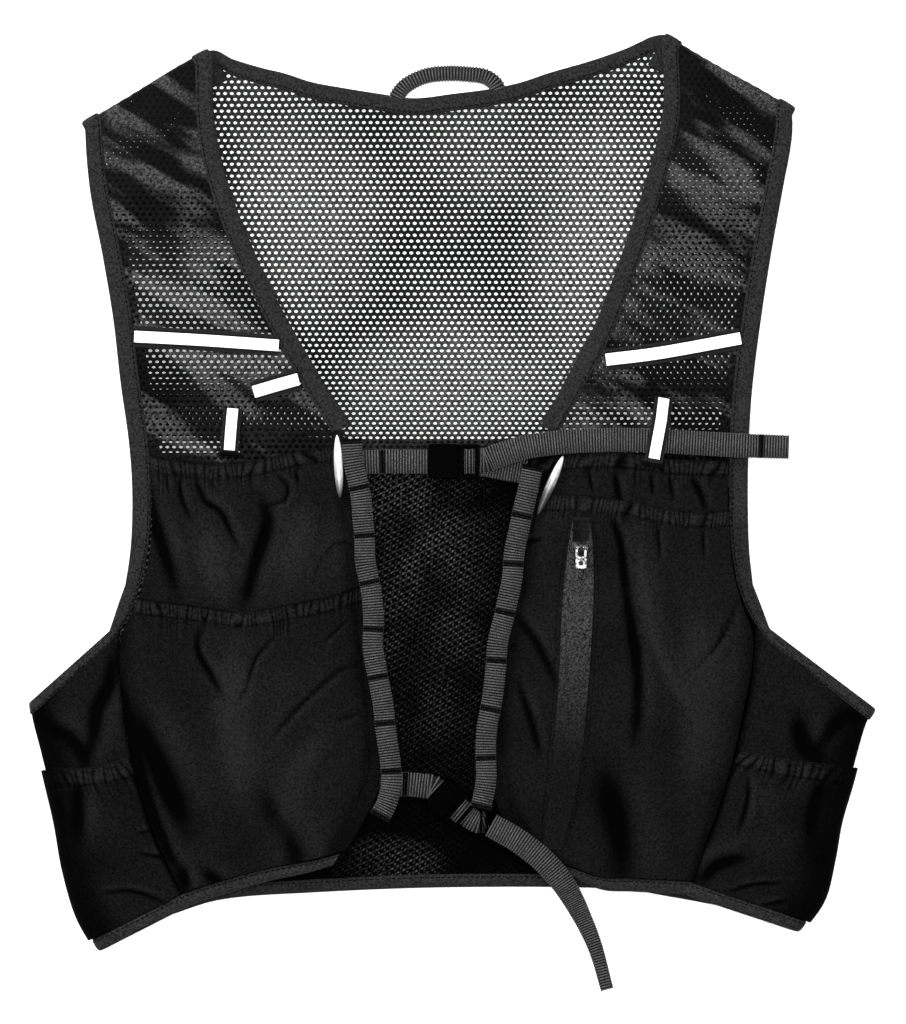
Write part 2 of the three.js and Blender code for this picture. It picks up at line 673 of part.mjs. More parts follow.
// Front pockets
const POCKET_COLUMNS = steps(0, 1, 22);
const POCKET_ROWS = [0, 0.12, 0.28, 0.46, 0.64, 0.8, 0.91, 1];
add("upper_pocket_left", cloth(leftUpper.at, POCKET_COLUMNS, POCKET_ROWS, CLOTH), "cloth");
add("lower_pocket_left", cloth(leftLower.at, POCKET_COLUMNS, POCKET_ROWS, CLOTH), "cloth");
add("upper_pocket_right", cloth(rightUpper.at, POCKET_COLUMNS, POCKET_ROWS, CLOTH), "cloth");
add("zip_pocket_right", cloth(zipPocket.at, POCKET_COLUMNS, POCKET_ROWS, CLOTH), "cloth");

// Wings with their side pockets
const WING_STATIONS = [...steps(0, 1, 5), 1.25, 1.5, 1.75, 2, 3];
for (const [name, surface] of [
  ["left", leftWing],
  ["right", rightWing],
]) {
  add("side_panel_" + name, cloth(surface.at, WING_STATIONS, WING_HEIGHTS, CLOTH), "cloth");
  const mouth = reader(surface.sideMouth, "a", "v");
  const hemStart = (WING_BINDING_WIDTH + SEAM_GAP) / (surface.at(0.5, 1).distanceTo(surface.at(0.5, 0)));
  const mouthRow = (a) => {
    const bottom = surface.at(Math.min(a, 1), 0).y;
    const top = surface.at(Math.min(a, 1), 1).y;
    return (mouth(Math.min(a, 1)) * VEST_LENGTH - bottom) / (top - bottom);
  };
  const pocketAt = (a, b) => {
    const t = lerp(hemStart, mouthRow(a), b);
    const across = Math.sin(Math.PI * THREE.MathUtils.clamp(a, 0, 1)) ** 0.8;
    const gather = GATHER_HEIGHT * Math.sin(2 * Math.PI * 5 * a) * smoothstep(b, 0.55, 1);
    const puff = across * (SIDE_POCKET_DEPTH * smoothstep(b, 0, 0.5) + gather);
    const clear = LAYER + FOLD_CLEARANCE * smoothstep(a, 0.8, 1);
    return surface.at(a, t).addScaledVector(normalOf(surface.at, a, t, -surface.hand), clear + puff);
  };
  const stations = [0.01, ...steps(0.08, 0.92, 12), 1, 1.25, 1.5, 1.6];
  const rows = [0, 0.09, 0.18, 0.3, 0.5, 0.75, 0.9, 1];
  add("side_pocket_" + name, cloth(pocketAt, stations, rows, CLOTH), "cloth");
}

// Bound edges
const bindingSize = { from: 0, to: BINDING_WIDTH, thickness: BINDING, lift: TRIM_LIFT };
const narrowShare = WING_BINDING_WIDTH / BINDING_WIDTH;
const NECK_END = 0.572;
const ARMHOLE_END = 0.4;
for (const [name, panel, surface] of [
  ["left", leftFront, leftWing],
  ["right", rightFront, rightWing],
]) {
  const wingHand = -panel.hand;
  const neckRows = [...steps(panel.rowOf(1, NECK_END), 1, 14), 1.25, 1.5, 1.75, 2, 2.9];
  const neck = neckRows.map((k) => edgeFrame(panel.at, 1, k, -0.01, 0, panel.hand));
  add("neck_binding_" + name, strip(neck, bindingSize), "binding");

  const strapRows = [2.9, 2, 1.75, 1.5, 1.25, ...steps(1, panel.rowOf(0, ARMHOLE_END), 12)];
  const strap = strapRows.map((k) => edgeFrame(panel.at, 0, k, 0.01, 0, panel.hand));
  const wingTop = [0.12, 0.35, 0.6, 0.8, 1, 1.25, 1.5, 1.75, 2, 2.9].map((a) =>
    edgeFrame(surface.at, a, 1, 0, -0.01, wingHand, narrowShare),
  );
  strap.at(-1).narrow = 0.8;
  add("armhole_binding_" + name, strip([...strap, ...wingTop], bindingSize), "binding");

  const hemFrames = [
    ...steps(0.96, 0.04, 9).map((s) => edgeFrame(panel.at, s, 0, 0, 0.01, panel.hand, narrowShare)),
    ...[0.1, 0.4, 0.7, 1, 1.25, 1.5, 1.75, 2, 2.9].map((a) =>
      edgeFrame(surface.at, a, 0, 0, 0.01, wingHand, narrowShare),
    ),
  ];
  add("hem_binding_" + name, strip(hemFrames, bindingSize), "binding");

  const backEdge = name === "left" ? 0 : 1;
  const inward = name === "left" ? 0.01 : -0.01;
  const backRows = steps(WING_ROWS + 0.03, 0.985, 12);
  const backFrames = backRows.map((q) => edgeFrame(backAt, backEdge, q, inward, 0, -1));
  const backSize = { ...bindingSize, to: BACK_BINDING_WIDTH };
  add("back_armhole_binding_" + name, strip(backFrames, backSize), "binding");
}
const backSize = { ...bindingSize, to: BACK_BINDING_WIDTH };
const neckColumns = BACK_COLUMNS.filter((s) => s > 0.2 && s < 0.79);
const neckFrames = neckColumns.map((s) => edgeFrame(backAt, s, 1, 0, -0.01, 1));
add("neck_binding_back", strip(neckFrames, backSize), "binding");
const backHemFrames = steps(0.02, 0.98, 14).map((s) => edgeFrame(backAt, s, 0, 0, 0.01, 1));
add("hem_binding_back", strip(backHemFrames, { ...backSize, to: WING_BINDING_WIDTH }), "binding");

// Rails on the inner front edges, humped between their bar tacks
for (const [name, panel] of [
  ["left", leftFront],
  ["right", rightFront],
]) {
  const line = reader(panel.rail, "v", "u");
  const first = panel.rail[0].v;
  const last = panel.rail.at(-1).v;
  const length = (last - first) * VEST_LENGTH;
  const bays = Math.max(1, Math.round(length / RAIL_PITCH));
  const points = steps(0, 1, bays * 4).map((t) => {
    const v = lerp(first, last, t);
    const hump = RAIL_HUMP * Math.sin(Math.PI * t * bays) ** 2;
    return new THREE.Vector3(line(v) * HALF_WIDTH, v * VEST_LENGTH, panel.z(1, v) + RAIL_LIFT + hump);
  });
  const size = { from: -RAIL_WIDTH / 2, to: RAIL_WIDTH / 2, thickness: WEBBING };
  add("rail_" + name, strip(bandFrames(points, bays * 4), size), "webbing");
}

// A point of the plan, given in shares of the vest
const spot = (u, v, z) => new THREE.Vector3(u * HALF_WIDTH, v * VEST_LENGTH, z);
const strapSize = { from: -STRAP_WIDTH / 2, to: STRAP_WIDTH / 2, thickness: WEBBING };

// A side-release buckle, its length along X and its middle at the origin
const rounded = (w, d, h, radius) => new RoundedBoxGeometry(w, d, h, 1, radius);
function solid(geometry) {
  const bare = geometry.clone();
  bare.deleteAttribute("normal");
  bare.deleteAttribute("uv");
  const merged = mergeVertices(bare, 1e-4);
  const mesh = new wasm.Mesh({
    numProp: 3,
    vertProperties: new Float32Array(merged.attributes.position.array),
    triVerts: new Uint32Array(merged.index.array),
  });
  return new wasm.Manifold(mesh);
}
function geometryOf(body) {
  const mesh = body.getMesh();
  const geometry = new THREE.BufferGeometry();
  geometry.setAttribute("position", new THREE.BufferAttribute(new Float32Array(mesh.vertProperties), 3));
  geometry.setIndex(new THREE.BufferAttribute(new Uint32Array(mesh.triVerts), 1));
  return geometry;
}
const block = (w, d, h, x = 0, y = 0, z = 0) => solid(new THREE.BoxGeometry(w, d, h).translate(x, y, z));

const SOCKET_SHARE = 0.6;
const PRONG_WIDTH = 2.2;
const BUCKLE_SLOT = 2.2;
function buckle(length) {
  const socketLength = length * SOCKET_SHARE;
  const plugLength = length - socketLength - FIT_GAP;
  const socketX = -length / 2 + socketLength / 2;
  const plugX = length / 2 - plugLength / 2;
  const cavityWidth = BUCKLE_WIDTH - 2 * PRONG_WALL;
  const cavityHeight = BUCKLE_THICKNESS - 2 * PRONG_WALL;
  const depth = socketLength - 3 * PRONG_WALL;
  const socket = solid(rounded(socketLength, BUCKLE_WIDTH, BUCKLE_THICKNESS, 1.2).translate(socketX, 0, 0))
    .subtract(block(depth, cavityWidth, cavityHeight, socketX + socketLength / 2 - depth / 2 + 0.01))
    .subtract(block(depth * 0.5, PRONG_WALL * 4, cavityHeight * 1.2, socketX, BUCKLE_WIDTH / 2))
    .subtract(block(depth * 0.5, PRONG_WALL * 4, cavityHeight * 1.2, socketX, -BUCKLE_WIDTH / 2));
  const body = solid(rounded(plugLength, BUCKLE_WIDTH, BUCKLE_THICKNESS * 0.86, 1.1).translate(plugX, 0, 0));
  const slot = (x) => block(BUCKLE_SLOT, STRAP_WIDTH + 1, BUCKLE_THICKNESS * 2, x);
  const tongue = depth * 0.8;
  const tongueX = plugX - plugLength / 2 - tongue / 2 + 0.5;
  const prong = (y) => block(tongue, PRONG_WIDTH, cavityHeight - 2 * FIT_GAP, tongueX, y);
  const prongY = (cavityWidth - PRONG_WIDTH) / 2 - FIT_GAP;
  const plug = body
    .subtract(slot(plugX - 1.6))
    .subtract(slot(plugX + BUCKLE_SLOT))
    .add(prong(prongY))
    .add(prong(-prongY))
    .add(prong(0));
  return { socket: geometryOf(socket), plug: geometryOf(plug) };
}

// Chest strap across the two rails
const CHEST_V = 0.5335;
const chestZ = FRONT_HEIGHT + STRAP_LIFT;
const chestBuckle = buckle(BUCKLE_LENGTH);
const CHEST_BUCKLE_U = 0.004;
const chestPlace = new THREE.Group();
chestPlace.position.copy(spot(CHEST_BUCKLE_U, CHEST_V, chestZ));
vest.add(chestPlace);
add("chest_buckle_socket", chestBuckle.socket, "plastic", chestPlace);
add("chest_buckle_plug", chestBuckle.plug, "plastic", chestPlace);
const chestLeftEnd = (CHEST_BUCKLE_U * HALF_WIDTH - BUCKLE_LENGTH / 2 - FIT_GAP) / HALF_WIDTH;
const chestRightEnd = (CHEST_BUCKLE_U * HALF_WIDTH + BUCKLE_LENGTH / 2 + FIT_GAP) / HALF_WIDTH;
const chestLeft = [
  spot(-0.228, CHEST_V - 0.001, chestZ),
  spot(-0.15, CHEST_V, chestZ),
  spot(chestLeftEnd, CHEST_V, chestZ),
];
add("chest_strap_left", strip(bandFrames(chestLeft, 6), strapSize), "webbing");
const underZ = chestZ - WEBBING / 2 - FIT_GAP / 2;
const tailZ = chestZ + WEBBING / 2 + FIT_GAP / 2;
const underStrap = [
  spot(chestRightEnd, CHEST_V - 0.003, underZ),
  spot(chestRightEnd + 0.012, CHEST_V - 0.003, underZ),
  spot(0.12, CHEST_V - 0.007, underZ),
  spot(0.172, CHEST_V - 0.011, underZ),
];
add("chest_strap_right", strip(bandFrames(underStrap, 6), strapSize), "webbing");
const overRail = FRONT_HEIGHT + RAIL_LIFT + WEBBING + FIT_GAP + RAIL_HUMP * 0.9;
// Where the chest strap's free end runs, over the right rail and the pockets
const chestTail = [
  spot(chestRightEnd + 0.002, 0.5345, tailZ),
  spot(chestRightEnd + 0.014, 0.5346, tailZ),
  spot(0.1, 0.5385, lerp(tailZ, overRail, 0.6)),
  spot(0.18, 0.5495, overRail + 0.6),
  spot(0.266, 0.5545, overRail),
  spot(0.349, 0.5565, overRail - 0.4),
  spot(0.443, 0.5565, overRail - 0.5),
  spot(0.53, 0.5545, overRail - 0.8),
  spot(0.667, 0.551, overRail - 1.6),
  spot(0.79, 0.549, overRail - 2.6),
];
add("chest_strap_tail", strip(bandFrames(chestTail, 22), strapSize), "webbing");

// Waist strap, its buckle turned towards the hem
const WAIST_TURN = -0.7;
const waistZ = FRONT_HEIGHT * 0.9;
const WAIST_U = -0.002;
const WAIST_V = 0.163;
const waistBuckle = buckle(WAIST_BUCKLE_LENGTH);
const waistPlace = new THREE.Group();
waistPlace.position.copy(spot(WAIST_U, WAIST_V, waistZ));
waistPlace.rotation.z = WAIST_TURN;
vest.add(waistPlace);
add("waist_buckle_socket", waistBuckle.socket, "plastic", waistPlace);
add("waist_buckle_plug", waistBuckle.plug, "plastic", waistPlace);
const waistEnd = (side) => {
  const reach = side * (WAIST_BUCKLE_LENGTH / 2 + FIT_GAP);
  return spot(WAIST_U, WAIST_V, waistZ).add(
    new THREE.Vector3(Math.cos(WAIST_TURN), Math.sin(WAIST_TURN), 0).multiplyScalar(reach),
  );
};
const waistDirection = new THREE.Vector3(Math.cos(WAIST_TURN), Math.sin(WAIST_TURN), 0);
const waistLeft = [
  spot(-0.146, 0.184, waistZ + STRAP_LIFT),
  spot(-0.1, 0.183, waistZ + STRAP_LIFT / 2),
  spot(-0.062, 0.181, waistZ),
  waistEnd(-1).addScaledVector(waistDirection, -2),
  waistEnd(-1),
];
add("waist_strap_left", strip(bandFrames(waistLeft, 10), strapSize), "webbing");

const ADJUSTER_U = 0.082;
const ADJUSTER_V = 0.143;
const UNDER_STRAP_WIDTH = 11; // where the strap narrows to pass the adjuster
const ADJUSTER_SLOT = 1.7;
const adjusterZ = waistZ + 0.6;
const waistRight = [
  waistEnd(1),
  waistEnd(1).addScaledVector(waistDirection, 1.5),
  spot(0.066, 0.1405, waistZ - 0.6),
  spot(ADJUSTER_U, ADJUSTER_V - 0.001, waistZ - 1.2),
];
const underSize = { ...strapSize, from: -UNDER_STRAP_WIDTH / 2, to: UNDER_STRAP_WIDTH / 2 };
add("waist_strap_right", strip(bandFrames(waistRight, 6), underSize), "webbing");

const adjusterBody = solid(rounded(ADJUSTER_LENGTH, ADJUSTER_WIDTH, ADJUSTER_THICKNESS, 0.9))
  .subtract(block(ADJUSTER_SLOT, STRAP_WIDTH + 1, ADJUSTER_THICKNESS * 2, -ADJUSTER_SLOT))
  .subtract(block(ADJUSTER_SLOT, STRAP_WIDTH + 1, ADJUSTER_THICKNESS * 2, ADJUSTER_SLOT));
const adjusterPlace = new THREE.Group();
adjusterPlace.position.copy(spot(ADJUSTER_U, ADJUSTER_V, adjusterZ + 1.2));
vest.add(adjusterPlace);
add("waist_adjuster", geometryOf(adjusterBody), "plastic", adjusterPlace);

const overCorner = FRONT_HEIGHT + RAIL_LIFT + WEBBING;
const waistTail = [
  spot(ADJUSTER_U + 0.012, 0.139, adjusterZ + ADJUSTER_THICKNESS + 1.2),
  spot(0.16, 0.122, overCorner + 1),
  spot(0.219, 0.1, overCorner + 1.5),
  spot(0.266, 0.073, overCorner - 3),
  spot(0.309, 0.036, overCorner * 0.3),
  spot(0.342, 0.0, 1.4),
  spot(0.369, -0.044, 1.0),
];
const tailFrames = bandFrames(waistTail, 22).map((frame, i, all) => ({
  ...frame,
  narrow: lerp(1, 0.56, smoothstep(i / (all.length - 1), 0.3, 1)),
}));
add("waist_strap_tail", strip(tailFrames, strapSize), "webbing");

// Toggle bars beside the rails
function toggle(name, panel, heightAt, from, to) {
  const centre = from.clone().add(to).multiplyScalar(0.5);
  const heights = steps(0, 1, 8).flatMap((t) =>
    [-TOGGLE_WIDTH / 2, 0, TOGGLE_WIDTH / 2].map((aside) => {
      const here = from.clone().lerp(to, t);
      const v = here.y / VEST_LENGTH;
      return heightAt(panel.share(here.x + aside, v), v);
    }),
  );
  const bar = new THREE.SphereGeometry(0.5, 12, 8);
  bar.scale(TOGGLE_WIDTH, TOGGLE_LENGTH, TOGGLE_THICKNESS);
  const mesh = add(name, bar, "silver");
  const seat = Math.max(...heights) + CLOTH / 2 + 2 * FIT_GAP;
  mesh.position.set(centre.x, centre.y, seat + TOGGLE_THICKNESS / 2);
  mesh.rotation.z = Math.atan2(to.y - from.y, to.x - from.x) - Math.PI / 2;
}
const onZipPocket = (s, v) => (v < zipPocket.mouth(s) ? zipPocket.z(s, v) : rightUpper.z(s, v));
toggle("chest_toggle_left", leftFront, leftUpper.z, spot(-0.2635, 0.494, 0), spot(-0.2705, 0.562, 0));
toggle("chest_toggle_right", rightFront, onZipPocket, spot(0.2035, 0.4785, 0), spot(0.258, 0.5365, 0));

// Reflective strips across the upper front meshes
function stripOnFront(panel, rows, width, count) {
  const frames = rows.map(({ u, v }) => {
    const s = panel.share(u * HALF_WIDTH, v);
    return panel.plan(s, v).setZ(panel.z(s, v));
  });
  const size = { from: -width / 2, to: width / 2, thickness: TAPE, lift: TAPE_LIFT };
  return strip(bandFrames(frames, count), size);
}
const STRIP_LEFT = [
  { u: -0.742, v: 0.668 },
  { u: -0.594, v: 0.665 },
  { u: -0.43, v: 0.66 },
];
const STRIP_RIGHT = [
  { u: 0.378, v: 0.645 },
  { u: 0.49, v: 0.65 },
  { u: 0.668, v: 0.665 },
];
const TAB_LEFT = [
  { u: -0.468, v: 0.609 },
  { u: -0.425, v: 0.615 },
  { u: -0.392, v: 0.619 },
];
add("reflective_strip_left", stripOnFront(leftFront, STRIP_LEFT, REFLECTIVE_WIDTH, 8), "reflective");
add("reflective_strip_right", stripOnFront(rightFront, STRIP_RIGHT, REFLECTIVE_WIDTH, 8), "reflective");
add("reflective_tab_left", stripOnFront(leftFront, TAB_LEFT, TAB_WIDTH, 4), "reflective");

// Keeper loops, each a tape that stands a little off the mesh
function keeper(name, panel, top, bottom, arch) {
  const points = steps(0, 1, 6).map((t) => {
    const here = spot(lerp(top.u, bottom.u, t), lerp(top.v, bottom.v, t), 0);
    const s = panel.share(here.x, here.y / VEST_LENGTH);
    const base = panel.z(s, here.y / VEST_LENGTH) + TAPE_LIFT;
    return here.setZ(base + arch(t));
  });
  const size = { from: -KEEPER_WIDTH / 2, to: KEEPER_WIDTH / 2, thickness: TAPE };
  add(name, strip(bandFrames(points, 10), size), "reflective");
}
const KEEPER_ARCH = 1.2;
keeper("keeper_loop_left", leftFront, { u: -0.517, v: 0.592 }, { u: -0.526, v: 0.541 }, (t) => {
  return KEEPER_ARCH * Math.sin(Math.PI * t);
});
const strapTop = overRail + WEBBING / 2 + FIT_GAP + TAPE / 2;
keeper("keeper_loop_right", rightFront, { u: 0.5, v: 0.603 }, { u: 0.47, v: 0.528 }, (t) => {
  const rise = strapTop - rightFront.z(0.4, CHEST_V) - TAPE_LIFT + 0.6;
  return rise * smoothstep(t, 0, 0.36);
});

// Hang loop at the back of the neck
const HANG_LOOP = [
  { u: -0.124, v: 0.9385 },
  { u: -0.106, v: 0.9475 },
  { u: -0.06, v: 0.958 },
  { u: -0.005, v: 0.961 },
  { u: 0.038, v: 0.96 },
  { u: 0.078, v: 0.9575 },
  { u: 0.1, v: 0.9495 },
];
const hangPoints = HANG_LOOP.map(({ u, v }) => spot(u, v, BACK_CLOTH_Z));
const hangSize = { from: -LOOP_WIDTH / 2, to: LOOP_WIDTH / 2, thickness: LOOP_THICKNESS };
add("hang_loop", strip(bandFrames(hangPoints, 16), hangSize), "webbing");

// Zip on the right pocket
const zipCentre = reader(ZIP_LINE, "v", "u");
const zipWidth = reader(ZIP_LINE, "v", "width");
const zipSurface = (px, v) => zipPocket.z(rightFront.share(px, v), v);
const zipAt = (a, b) => {
  const v = lerp(ZIP_LINE[0].v, ZIP_LINE.at(-1).v, b);
  const px = zipCentre(v) * HALF_WIDTH + (a - 0.5) * ZIP_WIDTH * zipWidth(v);
  return new THREE.Vector3(px, v * VEST_LENGTH, zipSurface(px, v) + TAPE_LIFT);
};
add("zip_tape", cloth(zipAt, steps(0, 1, 3), steps(0, 1, 16), TAPE), "zip");

const SLIDER_V = 0.441;
const sliderX = zipCentre(SLIDER_V) * HALF_WIDTH;
const sliderY = SLIDER_V * VEST_LENGTH;
const tapeTop = (y) => {
  const heights = [-1, 0, 1].map((side) => zipSurface(sliderX + (side * SLIDER_WIDTH) / 2, y / VEST_LENGTH));
  return Math.max(...heights) + TAPE_LIFT + TAPE / 2;
};
const underSlider = [-0.5, 0, 0.5].map((end) => tapeTop(sliderY + end * SLIDER_LENGTH));
const sliderFloor = Math.max(...underSlider) + FIT_GAP;
const BRIDGE_ROOT = 0.2; // how deep the bridge stands in the slider
const bridgeMiddle = SLIDER_THICKNESS + BRIDGE_HEIGHT / 2 - BRIDGE_ROOT;
const bridgeOuter = block(BRIDGE_WIDTH, BRIDGE_LENGTH, BRIDGE_HEIGHT, 0, 0, bridgeMiddle);
const gateHeight = BRIDGE_HEIGHT - BRIDGE_WALL - BRIDGE_ROOT;
const gateLength = BRIDGE_LENGTH - 2 * BRIDGE_WALL;
const pullAxisZ = SLIDER_THICKNESS + gateHeight / 2;
const bridgeHole = block(BRIDGE_WIDTH * 2, gateLength, gateHeight, 0, 0, pullAxisZ);
const sliderBody = solid(
  rounded(SLIDER_WIDTH, SLIDER_LENGTH, SLIDER_THICKNESS, 0.6).translate(0, 0, SLIDER_THICKNESS / 2),
);
const sliderPlace = new THREE.Group();
sliderPlace.position.set(sliderX, sliderY, sliderFloor);
vest.add(sliderPlace);
add("zip_slider", geometryOf(sliderBody.add(bridgeOuter.subtract(bridgeHole))), "metal", sliderPlace);

const PULL_BAR = 1; // the bar that turns in the bridge
const PULL_HOLE = 1.1;
const windowLength = BRIDGE_LENGTH / 2 + 1.4;
const windowWidth = BRIDGE_WIDTH + 4 * FIT_GAP;
const plateLength = PULL_LENGTH + PULL_BAR / 2;
const plate = rounded(PULL_WIDTH, plateLength, PULL_THICKNESS, 0.45);
const pullHole = new THREE.CylinderGeometry(PULL_HOLE, PULL_HOLE, PULL_THICKNESS * 2, 12);
const pullPlate = solid(plate.translate(0, PULL_BAR / 2 - plateLength / 2, 0))
  .subtract(block(windowWidth, windowLength, PULL_THICKNESS * 2, 0, -PULL_BAR / 2 - windowLength / 2))
  .subtract(solid(pullHole.rotateX(Math.PI / 2).translate(0, 2 * PULL_HOLE - PULL_LENGTH, 0)));
const pullPlace = new THREE.Group();
pullPlace.position.set(sliderX, sliderY, sliderFloor + pullAxisZ);
vest.add(pullPlace);
add("zip_pull", geometryOf(pullPlate), "metal", pullPlace);

const garageTop = ZIP_LINE.at(-1).v + 1 / VEST_LENGTH;
const garageEnd = (sliderY + SLIDER_LENGTH / 2 + SEAM_GAP) / VEST_LENGTH;
const garageAt = (a, b) => {
  const v = lerp(garageTop, garageEnd, b);
  const px = zipCentre(v) * HALF_WIDTH + (a - 0.5) * GARAGE_WIDTH;
  return new THREE.Vector3(px, v * VEST_LENGTH, zipSurface(px, v) + TAPE_LIFT + TAPE + FIT_GAP);
};
add("zip_garage", cloth(garageAt, [0, 0.5, 1], steps(0, 1, 4), TAPE), "cloth");

// The whole vest stands on the floor, centred over the origin.
const part = new THREE.Group();
part.add(vest);
vest.updateMatrixWorld(true);
const box = new THREE.Box3().setFromObject(vest, true);
vest.position.set(-(box.min.x + box.max.x) / 2, -(box.min.y + box.max.y) / 2, -box.min.z);

export default part;
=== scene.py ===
"""The looks of a running hydration vest, laid flat on its back, chest and waist straps closed.

Sizes are millimetres in the tables and functions. A mesh is written in metres, in the part's own frame.
"""

import math

import bmesh
import bpy
import numpy as np
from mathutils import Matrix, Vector


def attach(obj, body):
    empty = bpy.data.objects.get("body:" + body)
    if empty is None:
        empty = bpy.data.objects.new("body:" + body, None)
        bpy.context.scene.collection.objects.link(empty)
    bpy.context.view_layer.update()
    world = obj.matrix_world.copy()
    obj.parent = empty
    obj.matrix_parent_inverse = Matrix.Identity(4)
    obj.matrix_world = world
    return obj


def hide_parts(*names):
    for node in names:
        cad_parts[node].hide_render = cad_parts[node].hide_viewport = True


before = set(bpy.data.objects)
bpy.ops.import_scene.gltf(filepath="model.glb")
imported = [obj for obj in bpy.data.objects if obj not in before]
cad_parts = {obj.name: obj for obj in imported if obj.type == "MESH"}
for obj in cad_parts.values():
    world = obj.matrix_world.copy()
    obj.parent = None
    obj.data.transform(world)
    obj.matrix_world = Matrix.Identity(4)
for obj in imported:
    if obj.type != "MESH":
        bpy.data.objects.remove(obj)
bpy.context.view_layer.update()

# Overall sizes that the outline tables are shares of
VEST_WIDTH = 440
VEST_LENGTH = 478
HALF_WIDTH = VEST_WIDTH / 2
FRONT_HEIGHT = 16
SHIFT = np.array([-0.0793, -228.856, 0.0])

# Cloth, trim and clearances
CLOTH = 1.0
FIT_GAP = 0.3
SEAM_GAP = 0.6
FOLD_CLEARANCE = 1
BINDING_WIDTH = 9.5
WING_BINDING_WIDTH = 6.4
BACK_BINDING_WIDTH = 8.4
NECK_CLOTH_Z = 0.6
BACK_CLOTH_Z = 2.3
REAR_PANEL = 1.2
SHOULDER_FOLD = 4
SIDE_FOLD = 4.5
SHOULDER_TAIL = 15
WING_BACK = 31
POCKET_DEPTH = 9
SIDE_POCKET_DEPTH = 8
MOUTH_SHARE = 0.82
BAND = 7.6
GATHER_REACH = 20
NECK_WAVE = 1.4

# Webbing, rails and loops
RAIL_WIDTH = 10.6
RAIL_PITCH = 25.4
RAIL_HUMP = 2.2
RAIL_REST = RAIL_WIDTH / 2 + 4
STRAP_WIDTH = 12.5
WEBBING = 1.3
RIB_PITCH = 1.43
LOOP_WIDTH = 8.2
TAPE = 0.8
LAYER = CLOTH + FIT_GAP
TAPE_LIFT = CLOTH / 2 + FIT_GAP + TAPE / 2
SHOULDER_TOP = BACK_CLOTH_Z + 2 * SHOULDER_FOLD
SIDE_TOP = BACK_CLOTH_Z + 2 * SIDE_FOLD
RAIL_LIFT = 2 * LAYER + CLOTH / 2 + FIT_GAP + WEBBING / 2
STRAP_LIFT = LAYER + CLOTH / 2 + FIT_GAP + WEBBING / 2

# The net
HOLE_PITCH = 3.55
HOLE_RADIUS = 1.14
HOLE_HEIGHT = 0.78
NET_THICKNESS = 0.4

# Hard pieces
ZIP_WIDTH = 15.5
BUCKLE_LENGTH = 26.5
BUCKLE_WIDTH = 18
BUCKLE_THICKNESS = 6
WAIST_BUCKLE_LENGTH = 21

# In the outline tables v is a share of VEST_LENGTH, and the other lengths are shares of half of VEST_WIDTH.
LEFT = {
    "hand": 1,
    # v, outer, inner
    "sections": [
        (0.05, -0.624, -0.33),
        (0.1, -0.677, -0.262),
        (0.15, -0.72, -0.196),
        (0.2, -0.75, -0.152),
        (0.25, -0.771, -0.155),
        (0.32, -0.785, -0.172),
        (0.38, -0.776, -0.188),
        (0.44, -0.757, -0.204),
        (0.5, -0.753, -0.216),
        (0.555, -0.761, -0.226),
        (0.62, -0.781, -0.306),
        (0.69, -0.799, -0.394),
        (0.76, -0.825, -0.468),
        (0.83, -0.855, -0.527),
        (0.9, -0.867, -0.563),
        (0.975, -0.862, -0.57),
    ],
    # s, v
    "hem": [(0, 0.051), (0.3, 0.064), (0.6, 0.078), (0.85, 0.088), (1, 0.098)],
    "shoulder": [(0, 0.903), (0.4, 0.936), (0.77, 0.967), (1, 0.983)],
    # seam, seam v, edge, edge v
    "wing": [
        (-0.624, 0.051, -0.836, 0.001),
        (-0.669, 0.091, -0.883, 0.04),
        (-0.707, 0.129, -0.914, 0.089),
        (-0.735, 0.171, -0.933, 0.138),
        (-0.759, 0.218, -0.954, 0.18),
        (-0.775, 0.261, -0.975, 0.22),
        (-0.784, 0.307, -0.992, 0.25),
        (-0.784, 0.359, -0.999, 0.271),
    ],
    "upper_mouth": [(0.04, 0.544), (0.2, 0.535), (0.44, 0.532), (0.71, 0.544), (0.93, 0.552)],
    "lower_mouth": [
        (0.04, 0.386),
        (0.31, 0.378),
        (0.49, 0.372),
        (0.67, 0.38),
        (0.83, 0.388),
        (0.96, 0.399),
    ],
    "side_mouth": [(0, 0.213), (0.5, 0.203), (1, 0.201)],
    # v, u
    "rail": [
        (0.149, -0.17),
        (0.165, -0.155),
        (0.193, -0.144),
        (0.225, -0.148),
        (0.269, -0.165),
        (0.318, -0.179),
        (0.372, -0.188),
        (0.47, -0.21),
        (0.524, -0.224),
        (0.559, -0.236),
    ],
}
